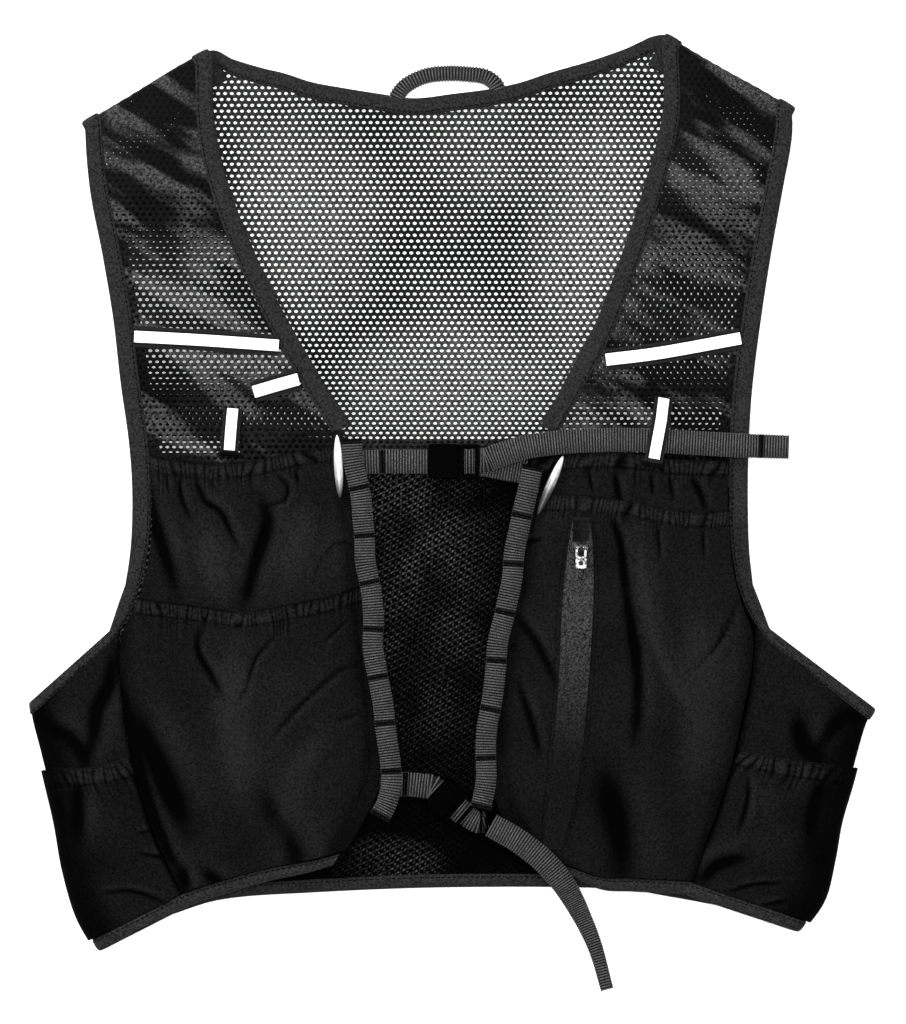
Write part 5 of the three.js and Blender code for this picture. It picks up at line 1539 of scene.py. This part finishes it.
NECK_END = 0.572
ARMHOLE_END = 0.4
narrow_share = WING_BINDING_WIDTH / BINDING_WIDTH
for name, panel, surface in (("left", left_front, left_wing), ("right", right_front, right_wing)):
    wing_hand = -panel.hand
    over, behind = np.linspace(1.05, 2, 16), np.array([2.3, 2.6, 2.9])
    rows = np.concatenate([np.linspace(panel.row(1, NECK_END), 1, 60), over, behind])
    neck = resample(edge_frames(panel.at, 1, rows, -0.01, 0, panel.hand), 1.0)
    bind("neck_binding_" + name, neck, BINDING_WIDTH)
    rows = np.concatenate([behind[::-1], over[::-1], np.linspace(1, panel.row(0, ARMHOLE_END), 60)])
    strap = edge_frames(panel.at, 0, rows, 0.01, 0, panel.hand)
    stations = np.concatenate([[0.12], np.linspace(0.3, 1, 12), np.linspace(1.06, 2, 14), [2.4, 2.9]])
    wing_top = edge_frames(surface.at, stations, 1, 0, -0.01, wing_hand)
    arm = resample([np.concatenate([a, b]) for a, b in zip(strap, wing_top)], 1.0)
    reach = np.linspace(0, 1, len(arm[0]))
    change = run_length(strap[0])[-1] / run_length(arm[0])[-1]
    narrow = lerp(1, narrow_share, smooth(reach, change - 0.08, change + 0.08))
    bind("armhole_binding_" + name, arm, BINDING_WIDTH, narrow)
    front_hem = edge_frames(panel.at, np.linspace(0.97, 0.03, 50), 0, 0, 0.01, panel.hand)
    stations = np.concatenate([np.linspace(0.06, 1, 20), np.linspace(1.06, 2, 14), [2.4, 2.9]])
    wing_hem = edge_frames(surface.at, stations, 0, 0, 0.01, wing_hand)
    hem = resample([np.concatenate([a, b]) for a, b in zip(front_hem, wing_hem)], 1.0)
    bind("hem_binding_" + name, hem, WING_BINDING_WIDTH)
    back_edge, inward = (0, 0.01) if name == "left" else (1, -0.01)
    rows = np.linspace(WING_ROWS + 0.03, 0.985, 90)
    edge = resample(edge_frames(back_at, back_edge, rows, inward, 0, -1), 1.2)
    bind("back_armhole_binding_" + name, edge, BACK_BINDING_WIDTH, top=1.2, under=-1.6)
across = np.linspace(0.139, 0.85, 260)
neck_back = resample(edge_frames(lambda s, q: sunk(back_at(s, q)), across, 1, 0, -0.01, 1), 1.0)
bind("neck_binding_back", neck_back, BACK_BINDING_WIDTH)
hem_back = resample(edge_frames(back_at, np.linspace(0.02, 0.98, 160), 0, 0, 0.01, 1), 1.4)
bind("hem_binding_back", hem_back, WING_BINDING_WIDTH)


# Webbing
def strap_profile(width, thickness):
    half, thick = width / 2, thickness / 2
    return [
        (-half, 0),
        (-half + 0.25, thick),
        (half - 0.25, thick),
        (half, 0),
        (half - 0.25, -thick),
        (-half + 0.25, -thick),
    ]


def webbing(name, frames, width, narrow=None, thickness=WEBBING, pitch=RIB_PITCH, tacks=(), plain=True):
    """Ribbed webbing: a core, a rib across it every pitch, bar tacks. plain: the CAD has a solid for it."""
    at, across, up = frames
    core = sweep(name, at, across, up, strap_profile(width - 0.7, thickness * 0.5), WEB, narrow)
    wide = np.ones(len(at)) if narrow is None else narrow
    rib = (pitch * 0.66, width, thickness)
    ribs = repeat(name + "_ribs", [[at, across, up, wide]], pitch, rib, RIB, sides=8)
    parts = [core, ribs]
    for place in tacks:
        i = int(np.clip(round(place * (len(at) - 1)), 0, len(at) - 1))
        sides = np.linspace(-0.46, 0.46, 24)[:, None] * width * wide[i]
        line = at[i] + across[i] * sides + up[i] * (thickness / 2)
        bar = [line, np.zeros_like(line) + across[i], np.zeros_like(line) + up[i]]
        second = [line + unit(np.cross(across[i], up[i])) * 0.9, bar[1], bar[2]]
        parts.append(repeat(name + "_tack", [bar, second], 0.55, (0.5, 1.7, 0.8), THREAD))
    settle(join(name, parts), *([name] if plain else []))


for name, panel in (("left", left_front), ("right", right_front)):
    rail = panel.side["rail"]
    line = curve(rail, 1)
    first, last = rail[0][0], rail[-1][0]
    bays = max(1, round((last - first) * VEST_LENGTH / RAIL_PITCH))
    t = np.linspace(0, 1, 260)
    v = lerp(first, last, t)
    hump = RAIL_HUMP * np.sin(math.pi * t * bays) ** 2
    lean = 1.4 * np.sin(math.pi * t * bays) * (0.5 + 0.5 * swell(t * 200, t * 0, 50, 91 + panel.hand))
    points = point(line(v) * HALF_WIDTH + lean, v * VEST_LENGTH, panel.z(1, v) + RAIL_LIFT + hump)
    frames = line_frames(points[::4], 260)
    webbing("rail_" + name, frames, RAIL_WIDTH, tacks=np.linspace(0, 1, bays + 1))


def spot(u, v, z):
    return np.array([u * HALF_WIDTH, v * VEST_LENGTH, z])


CHEST_V = 0.5335
CHEST_BUCKLE_U = 0.004
chest_z = FRONT_HEIGHT + STRAP_LIFT
chest_left_end = CHEST_BUCKLE_U - (BUCKLE_LENGTH / 2 + FIT_GAP) / HALF_WIDTH
chest_right_end = CHEST_BUCKLE_U + (BUCKLE_LENGTH / 2 + FIT_GAP) / HALF_WIDTH
chest_left = [
    spot(-0.228, CHEST_V - 0.001, chest_z),
    spot(-0.15, CHEST_V, chest_z),
    spot(chest_left_end + 0.004, CHEST_V, chest_z),
]
webbing("chest_strap_left", line_frames(chest_left, 60), STRAP_WIDTH, tacks=(0.36,))
under_z = chest_z - WEBBING / 2 - FIT_GAP / 2
tail_z = chest_z + WEBBING / 2 + FIT_GAP / 2
under = [
    spot(chest_right_end - 0.004, CHEST_V - 0.003, under_z),
    spot(chest_right_end + 0.012, CHEST_V - 0.003, under_z),
    spot(0.12, CHEST_V - 0.007, under_z),
    spot(0.172, CHEST_V - 0.011, under_z),
]
webbing("chest_strap_right", line_frames(under, 50), STRAP_WIDTH)
over_rail = FRONT_HEIGHT + RAIL_LIFT + WEBBING + FIT_GAP + RAIL_HUMP * 0.9
chest_tail = [
    spot(chest_right_end + 0.002, 0.5345, tail_z),
    spot(chest_right_end + 0.014, 0.5346, tail_z),
    spot(0.1, 0.5385, lerp(tail_z, over_rail, 0.6)),
    spot(0.18, 0.5495, over_rail + 0.6),
    spot(0.266, 0.5545, over_rail),
    spot(0.349, 0.5565, over_rail - 0.4),
    spot(0.443, 0.5565, over_rail - 0.5),
    spot(0.53, 0.5545, over_rail - 0.8),
    spot(0.667, 0.551, over_rail - 1.6),
    spot(0.79, 0.549, over_rail - 2.6),
]
webbing("chest_strap_tail", line_frames(chest_tail, 200), STRAP_WIDTH, tacks=(0.91,))

WAIST_TURN = -0.7
WAIST_U = -0.002
WAIST_V = 0.163
waist_z = FRONT_HEIGHT * 0.9
waist_direction = np.array([math.cos(WAIST_TURN), math.sin(WAIST_TURN), 0])


def waist_end(side):
    return spot(WAIST_U, WAIST_V, waist_z) + waist_direction * side * (WAIST_BUCKLE_LENGTH / 2 + FIT_GAP)


waist_left = [
    spot(-0.146, 0.184, waist_z + STRAP_LIFT),
    spot(-0.1, 0.183, waist_z + STRAP_LIFT / 2),
    spot(-0.062, 0.181, waist_z),
    waist_end(-1) - waist_direction * 2,
    waist_end(-1),
]
webbing("waist_strap_left", line_frames(waist_left, 60), STRAP_WIDTH, tacks=(0.3,))
ADJUSTER_U = 0.082
ADJUSTER_V = 0.143
adjuster_z = waist_z + 0.6
waist_right = [
    waist_end(1),
    waist_end(1) + waist_direction * 1.5,
    spot(0.066, 0.1405, waist_z - 0.6),
    spot(ADJUSTER_U, ADJUSTER_V - 0.001, waist_z - 1.2),
]
webbing("waist_strap_right", line_frames(waist_right, 30), 11)
over_corner = FRONT_HEIGHT + RAIL_LIFT + WEBBING
waist_tail = [
    spot(ADJUSTER_U + 0.012, 0.139, adjuster_z + 2.4 + 1.2),
    spot(0.16, 0.122, over_corner + 1),
    spot(0.219, 0.1, over_corner + 1.5),
    spot(0.266, 0.073, over_corner - 3),
    spot(0.309, 0.036, over_corner * 0.3),
    spot(0.342, 0.0, 1.4),
    spot(0.369, -0.044, 1.0),
]
tail_share = np.linspace(0, 1, 160)
webbing(
    "waist_strap_tail",
    line_frames(waist_tail, 160),
    STRAP_WIDTH,
    narrow=lerp(1, 0.56, smooth(tail_share, 0.3, 1)),
)

hang_points = [
    spot(u, v, BACK_CLOTH_Z)
    for u, v in (
        (-0.137, 0.928),
        (-0.127, 0.9375),
        (-0.106, 0.9475),
        (-0.06, 0.957),
        (-0.005, 0.9595),
        (0.038, 0.9585),
        (0.078, 0.956),
        (0.103, 0.948),
        (0.114, 0.936),
    )
]
webbing("hang_loop", line_frames(hang_points, 80), LOOP_WIDTH, thickness=2.2, pitch=1.6)


# Reflective strips and keeper loops
def flat_profile(width, thickness):
    half, thick = width / 2, thickness / 2
    top = [(half, thick * 0.6), (half - 0.3, thick), (-half + 0.3, thick), (-half, thick * 0.6)]
    return [(-half, -thick), (half, -thick)] + top


def taped(name, frames, width, white, lift, ends=(0.0, 1.0), tacks=()):
    """A dark woven tape with a white reflective strip along its middle."""
    at, across, up = frames
    at = at + up * lift
    base = sweep(name, at, across, up, flat_profile(width, TAPE * 0.7), TAPE_DARK)
    first, last = int(ends[0] * (len(at) - 1)), int(ends[1] * (len(at) - 1)) + 1
    part = slice(first, last)
    on_top = at[part] + up[part] * 0.4
    shine = sweep(name + "_white", on_top, across[part], up[part], flat_profile(white, 0.35), WHITE)
    lines = []
    for side in (-1, 1):
        lines.append([at + across * side * (white / 2 + 0.7) + up * 0.3, across, up])
    stitches = repeat(name + "_stitches", lines, 2.2, (1.6, 0.4, 0.4), THREAD)
    parts = [base, shine, stitches]
    for place in tacks:
        i = int(np.clip(round(place * (len(at) - 1)), 0, len(at) - 1))
        sides = np.linspace(-0.6, 0.6, 30)[:, None] * width
        line = at[i] + across[i] * sides + up[i] * 0.4
        bar = [line, np.zeros_like(line) + across[i], np.zeros_like(line) + up[i]]
        parts.append(repeat(name + "_tack", [bar], 0.55, (0.5, 2.4, 0.8), THREAD))
    settle(join(name, parts), name)


def on_panel(panel, rows, count):
    points = []
    for u, v in rows:
        s = panel.share(u * HALF_WIDTH, v)
        points.append(point(panel.x(s, v), v * VEST_LENGTH, panel.z(s, v)))
    return line_frames(points, count)


for name, panel, rows, count, white in (
    ("strip_left", left_front, [(-0.75, 0.6695), (-0.594, 0.6655), (-0.409, 0.6595)], 60, 5.9),
    ("strip_right", right_front, [(0.3628, 0.644), (0.49, 0.6515), (0.681, 0.6675)], 60, 6.2),
    ("tab_left", left_front, [(-0.468, 0.609), (-0.42, 0.6155), (-0.362, 0.623)], 24, 6.2),
):
    taped("reflective_" + name, on_panel(panel, rows, count), 11, white, TAPE_LIFT)


def keeper(name, panel, top, bottom, arch):
    points = []
    for t in np.linspace(0, 1, 7):
        here = spot(lerp(top[0], bottom[0], t), lerp(top[1], bottom[1], t), 0)
        s = panel.share(here[0], here[1] / VEST_LENGTH)
        here[2] = panel.z(s, here[1] / VEST_LENGTH) + TAPE_LIFT + arch(t)
        points.append(here)
    taped(name, line_frames(points, 50), 9.5, 5.6, 0, ends=(0.03, 0.9), tacks=(0.97,))


def low_arch(t):
    return 1.2 * math.sin(math.pi * t)


def strap_arch(t):
    return keeper_rise * float(smooth(t, 0, 0.36))


keeper("keeper_loop_left", left_front, (-0.517, 0.592), (-0.526, 0.541), low_arch)
strap_top = over_rail + WEBBING / 2 + FIT_GAP + TAPE / 2
keeper_rise = float(strap_top - right_front.z(0.4, CHEST_V) - TAPE_LIFT + 0.6)
keeper("keeper_loop_right", right_front, (0.5, 0.603), (0.47, 0.528), strap_arch)


# Zip
zip_centre, zip_width = curve(ZIP_LINE, 1), curve(ZIP_LINE, 2)


def zip_surface(px, v):
    return zip_pocket.z(right_front.share(px, v), v)


def zip_at(a, b):
    a, b = arrays(a, b)
    v = lerp(ZIP_LINE[0][0], ZIP_LINE[-1][0], b)
    px = zip_centre(v) * HALF_WIDTH + (a - 0.5) * ZIP_WIDTH * zip_width(v)
    return point(px, v * VEST_LENGTH, zip_surface(px, v) + TAPE_LIFT)


a, b = grid_of(np.linspace(0, 1, 24), np.linspace(0, 1, 140))
grid = zip_at(a, b)
grid[..., 2] += 0.3 * np.exp(-(((a - 0.5) / 0.16) ** 2)) - 0.25 * np.exp(-(((a - 0.5) / 0.018) ** 2))
tape = wall("zip_tape", grid, TAPE * 0.8, ZIP_GREY)
lines = []
for side in (-0.16, 1.16):
    b = np.linspace(0.02, 0.99, 200)
    here = zip_at(side, b) - (0, 0, TAPE_LIFT - CLOTH / 2 - 0.1)
    lines.append(level(here, (1, 0, 0)))
stitches = repeat("zip_stitches", lines, 2.4, (1.7, 0.45, 0.45), THREAD)
settle(join("zip_tape", [tape, stitches]), "zip_tape")


# Hard pieces
def rounded_outline(half_x, half_y, power=7.0, count=48):
    angle = np.linspace(0, 2 * math.pi, count, endpoint=False)
    c, s = np.cos(angle), np.sin(angle)
    radius = 1 / ((np.abs(c) / half_x) ** power + (np.abs(s) / half_y) ** power) ** (1 / power)
    return np.stack([radius * c, radius * s], -1)


def plate(outer, low, high, bevel, inner=None, centre=(0, 0)):
    """The points and faces of a plate with bevelled edges, with a hole if there is an inner outline."""

    def shrink(outline, by):
        reach = np.linalg.norm(outline, axis=1, keepdims=True)
        return outline * (1 - by / reach)

    def edge(outline, by):
        inset = shrink(outline, by)
        return [(inset, low), (outline, low + bevel), (outline, high - bevel), (inset, high)]

    rings = edge(outer, bevel)
    if inner is not None:
        rings += edge(inner, -bevel)[::-1]
    count = len(outer)
    points = np.concatenate([np.column_stack([ring, np.full(count, z)]) for ring, z in rings])
    index = np.arange(len(rings) * count).reshape(len(rings), count)
    pairs = [(index[i], index[i + 1]) for i in range(len(rings) - 1)]
    if inner is not None:
        pairs.append((index[-1], index[0]))
    faces = []
    for a, b in pairs:
        faces += np.stack([a, np.roll(a, -1), np.roll(b, -1), b], -1).tolist()
    if inner is None:
        faces += [index[0].tolist()[::-1], index[-1].tolist()]
    points[:, :2] += centre
    return points, faces


def hard(name, plates, origin, turn, material, more=(), body="vest"):
    """One hard piece from its plates, turned about z and put at its origin, with more made ready."""
    parts = []
    for i, (points, faces) in enumerate(plates):
        placed = np.column_stack([turned(points[:, :2], turn), points[:, 2]])
        parts.append(sharpen(mesh_piece(name + str(i), placed + origin, faces, material), 35))
    settle(join(name, parts + list(more)), name, body=body)


def box_plate(x0, x1, y0, y1, low, high, bevel=0.4, power=9.0, hole=None):
    inner = None if hole is None else rounded_outline(*hole, power)
    outer = rounded_outline((x1 - x0) / 2, (y1 - y0) / 2, power)
    return plate(outer, low, high, bevel, inner, ((x0 + x1) / 2, (y0 + y1) / 2))


SOCKET_SHARE = 0.6
PRONG_WALL = 1.4


def buckle(title, length, origin, turn):
    """A side-release buckle: a hollow socket with side windows, and a plug with a bar for the strap."""
    half, thick = BUCKLE_WIDTH / 2, BUCKLE_THICKNESS / 2
    mouth = -length / 2 + length * SOCKET_SHARE
    start = mouth + FIT_GAP
    window = (-length / 2 + mouth) / 2
    socket = [
        box_plate(-length / 2, mouth, -half, half, thick - PRONG_WALL, thick, 0.6),
        box_plate(-length / 2, mouth, -half, half, -thick, -thick + PRONG_WALL, 0.5),
        box_plate(-length / 2, window - 2.9, -half + 0.2, half - 0.2, -thick + 0.6, thick - 0.6, 0.3),
        box_plate(-length / 2 + 2.6, mouth - 2.2, -half + 3.4, half - 3.4, thick - 0.3, thick + 0.25, 0.25),
        box_plate(mouth - 1.3, mouth - 0.5, -half + 1.2, half - 1.2, thick - 0.3, thick + 0.3, 0.2),
    ]
    for side in (-1, 1):
        y0, y1 = sorted((side * (half - PRONG_WALL), side * half))
        socket.append(box_plate(window + 2.9, mouth, y0, y1, -thick + 0.6, thick - 0.6, 0.3))
    bar = length / 2 - (length / 2 - start) / 2
    opening = ((length / 2 - start) / 2 - 1.6, STRAP_WIDTH / 2 + 0.5)
    plug = [
        box_plate(start, length / 2, -half, half, -thick * 0.86, thick * 0.5, 0.5, hole=opening),
        box_plate(start, start + 2.2, -half, half, -thick * 0.86, thick * 0.86, 0.5),
        box_plate(length / 2 - 1.9, length / 2, -half, half, -thick * 0.86, thick * 0.86, 0.5),
        box_plate(bar - 0.8, bar + 0.8, -half + 1, half - 1, -thick * 0.5, thick * 0.5, 0.4),
        box_plate(mouth - 9, start + 1, -1.1, 1.1, -1.2, 1.2, 0.3),
    ]
    for side in (-1, 1):
        y0, y1 = sorted((side * (half - 2.1), side * half))
        plug.append(box_plate(start, length / 2, y0, y1, -thick * 0.86, thick * 0.8, 0.5))
        y0, y1 = sorted((side * (half - 4.2), side * (half - 1.5)))
        plug.append(box_plate(window - 3, start + 1, y0, y1, -1.3, 1.3, 0.3))
        y0, y1 = sorted((side * (half - 2.4), side * (half - 0.5)))
        plug.append(box_plate(window - 2.5, window + 2.5, y0, y1, -1.4, 1.4, 0.4))
    hard(title + "_buckle_socket", socket, origin, turn, PLASTIC)
    hard(title + "_buckle_plug", plug, origin, turn, PLASTIC)
    c, s = math.cos(turn), math.sin(turn)
    along, across = np.array([c, s, 0]), np.array([-s, c, 0])
    arch = ((-2.2, 0.4), (-1.6, 1.5), (-0.6, 2.2), (0.6, 2.2), (1.6, 1.5), (2.2, 0.4))
    wrap = [origin + along * (bar + x) + (0, 0, z) for x, z in arch]
    frames = line_frames(wrap, 24, across)
    webbing(title + "_strap_wrap", frames, STRAP_WIDTH, thickness=1.1, pitch=1.3, plain=False)


def node_box(name):
    """A solid's box in millimetres: its lowest and highest corners."""
    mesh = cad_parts[name].data
    places = np.empty(len(mesh.vertices) * 3)
    mesh.vertices.foreach_get("co", places)
    places = places.reshape(-1, 3) * 1000 - SHIFT
    return places.min(0), places.max(0)


buckle("chest", BUCKLE_LENGTH, spot(CHEST_BUCKLE_U, CHEST_V, chest_z), 0.0)
buckle("waist", WAIST_BUCKLE_LENGTH, spot(WAIST_U, WAIST_V, waist_z), WAIST_TURN)

low, high = node_box("waist_adjuster")
adjuster = [
    box_plate(-3.5, 3.5, -9.5, 9.5, -0.9, 0.9, 0.4, hole=(2.55, 6.75)),
    box_plate(-0.85, 0.85, -8, 8, -1.0, 1.2, 0.4),
    box_plate(-3.5, -2.4, -9, 9, -1.1, 1.2, 0.4),
    box_plate(2.4, 3.5, -9, 9, -1.1, 1.2, 0.4),
]
hard("waist_adjuster", adjuster, (low + high) / 2, 0.0, PLASTIC)


TOGGLE_RINGS = 60
TOGGLE_SIDES = 20


def toggle(name, bottom, top):
    """A slender bar, pointed at both ends, where its plain solid lies."""
    low, high = node_box(name)
    centre = (low + high) / 2
    direction = unit(top - bottom)
    t = np.linspace(-1, 1, TOGGLE_RINGS)
    full = np.maximum(1 - np.abs(t) ** 2.1, 1e-4) ** 0.62
    at = centre + direction * (t * 16.5)[:, None]
    around = np.linspace(0, 2 * math.pi, TOGGLE_SIDES, endpoint=False)
    side = np.cross(direction, (0, 0, 1.0))
    ring = np.cos(around)[:, None] * side * 2.3 + np.sin(around)[:, None] * np.array([0, 0, 1.1])
    points = (at[:, None] + ring[None] * full[:, None, None]).reshape(-1, 3)
    settle(mesh_piece(name, points, tube_faces(TOGGLE_RINGS, TOGGLE_SIDES), SILVER), name)


toggle("chest_toggle_left", spot(-0.2635, 0.494, 0), spot(-0.2705, 0.562, 0))
toggle("chest_toggle_right", spot(0.2035, 0.4785, 0), spot(0.258, 0.5365, 0))

# Zip slider, its bridge and the puller that turns in it
low, high = node_box("zip_slider")
seat = np.array([(low[0] + high[0]) / 2, (low[1] + high[1]) / 2, low[2]])
slider = [
    box_plate(-4.8, 4.8, -3, 3, 0, 1.1, 0.3, power=4.5),
    box_plate(-4.3, 4.3, -2.6, 2.6, 0.9, 2.0, 0.5, power=3.5),
    box_plate(-1.6, 1.6, 1.2, 2.9, 1.6, 2.6, 0.4, power=4),
]
arch = ((-2.6, 1.7), (-2.5, 3.4), (-1.7, 4.5), (0, 4.75), (1.7, 4.5), (2.5, 3.4), (2.6, 1.7))
bridge_frames = line_frames([seat + (0, y, z) for y, z in arch], 30, (1.0, 0, 0))
bridge = sweep("zip_bridge", *bridge_frames, rounded_outline(0.9, 0.45, 4.0, 16), DARK_STEEL)
hard("zip_slider", slider, seat, 0.0, DARK_STEEL, [bridge])
low, high = node_box("zip_pull")
axis_y, middle_z = high[1] - 0.5, (low[2] + high[2]) / 2
hook = np.array([(low[0] + high[0]) / 2, axis_y, middle_z])
pull = [
    plate(rounded_outline(2.9, 3.0, 6.0), -0.5, 0.5, 0.2, rounded_outline(1.55, 2.2, 5.0), (0, -2.5)),
    plate(rounded_outline(2.9, 2.9, 6.0), -0.5, 0.5, 0.2, rounded_outline(1.1, 1.1, 2.0), (0, -8.1)),
    box_plate(-1.9, 1.9, -5.9, -5.3, 0.2, 0.62, 0.12),
]
hard("zip_pull", pull, hook, 0.0, STEEL, body="zip_pull")

GARAGE_WIDTH = 8.2
garage_top = ZIP_LINE[-1][0] + 1 / VEST_LENGTH
garage_end = (seat[1] + 3 + SEAM_GAP) / VEST_LENGTH
a, b = grid_of(np.linspace(0, 1, 16), np.linspace(0, 1, 24))
v = lerp(garage_top, garage_end, b)
px = zip_centre(v) * HALF_WIDTH + (a - 0.5) * GARAGE_WIDTH
grid = point(px, v * VEST_LENGTH, zip_surface(px, v) + TAPE_LIFT + TAPE + FIT_GAP)
# painted shade across the garage, darker along its left side
garage = wall("zip_garage", grid, TAPE, CLOTH_BLACK, 0.35 + 0.3 * a)
bar = grid[:, 1] + (0, 0, TAPE / 2)
tack = repeat("zip_garage_tack", [level(bar, (1, 0, 0))], 0.55, (0.5, 1.8, 0.7), TAPE_DARK)
settle(join("zip_garage", [garage, tack]), "zip_garage")

# Floor, lights and camera
FLOOR_REACH = 3
FLOOR_BELOW = 0.0003
floor_mesh = bpy.data.meshes.new("floor")
corners = [(x * FLOOR_REACH, y * FLOOR_REACH, 0) for x, y in ((-1, -1), (1, -1), (1, 1), (-1, 1))]
floor_mesh.from_pydata(corners, [], [(0, 1, 2, 3)])
floor_mesh.materials.append(paper_floor())
floor = bpy.data.objects.new("floor", floor_mesh)
floor.location.z = -FLOOR_BELOW
bpy.context.scene.collection.objects.link(floor)

CAMERA_HEIGHT = 1.492
IMAGE_CENTRE = (0.0004, 0.0)


def lamp(name, place, size, power, aim=(0, 0, 0)):
    light = bpy.data.lights.new(name, "AREA")
    light.shape = "DISK"
    light.size = size
    light.energy = power
    made = bpy.data.objects.new(name, light)
    made.location = place
    made.rotation_euler = (Vector(aim) - Vector(place)).to_track_quat("-Z", "Y").to_euler()
    bpy.context.scene.collection.objects.link(made)


lamp("overhead_softbox", (0.0, 0.25, 2.3), 1.4, 46)
lamp("top_left_softbox", (-1.2, 1.1, 1.2), 0.6, 30)
lamp("right_fill", (1.6, 0.1, 1.2), 0.9, 5)

scene = bpy.context.scene
world = bpy.data.worlds.new("studio")
world.use_nodes = True
world.node_tree.nodes["Background"].inputs["Color"].default_value = (1, 1, 1, 1)
world.node_tree.nodes["Background"].inputs["Strength"].default_value = 0.35
scene.world = world
scene.view_settings.view_transform = "Standard"

camera_data = bpy.data.cameras.new("overhead")
camera_data.lens = 100
camera_data.sensor_width = 36
camera = bpy.data.objects.new("overhead", camera_data)
camera.location = (IMAGE_CENTRE[0], IMAGE_CENTRE[1], CAMERA_HEIGHT)
scene.collection.objects.link(camera)
scene.camera = camera
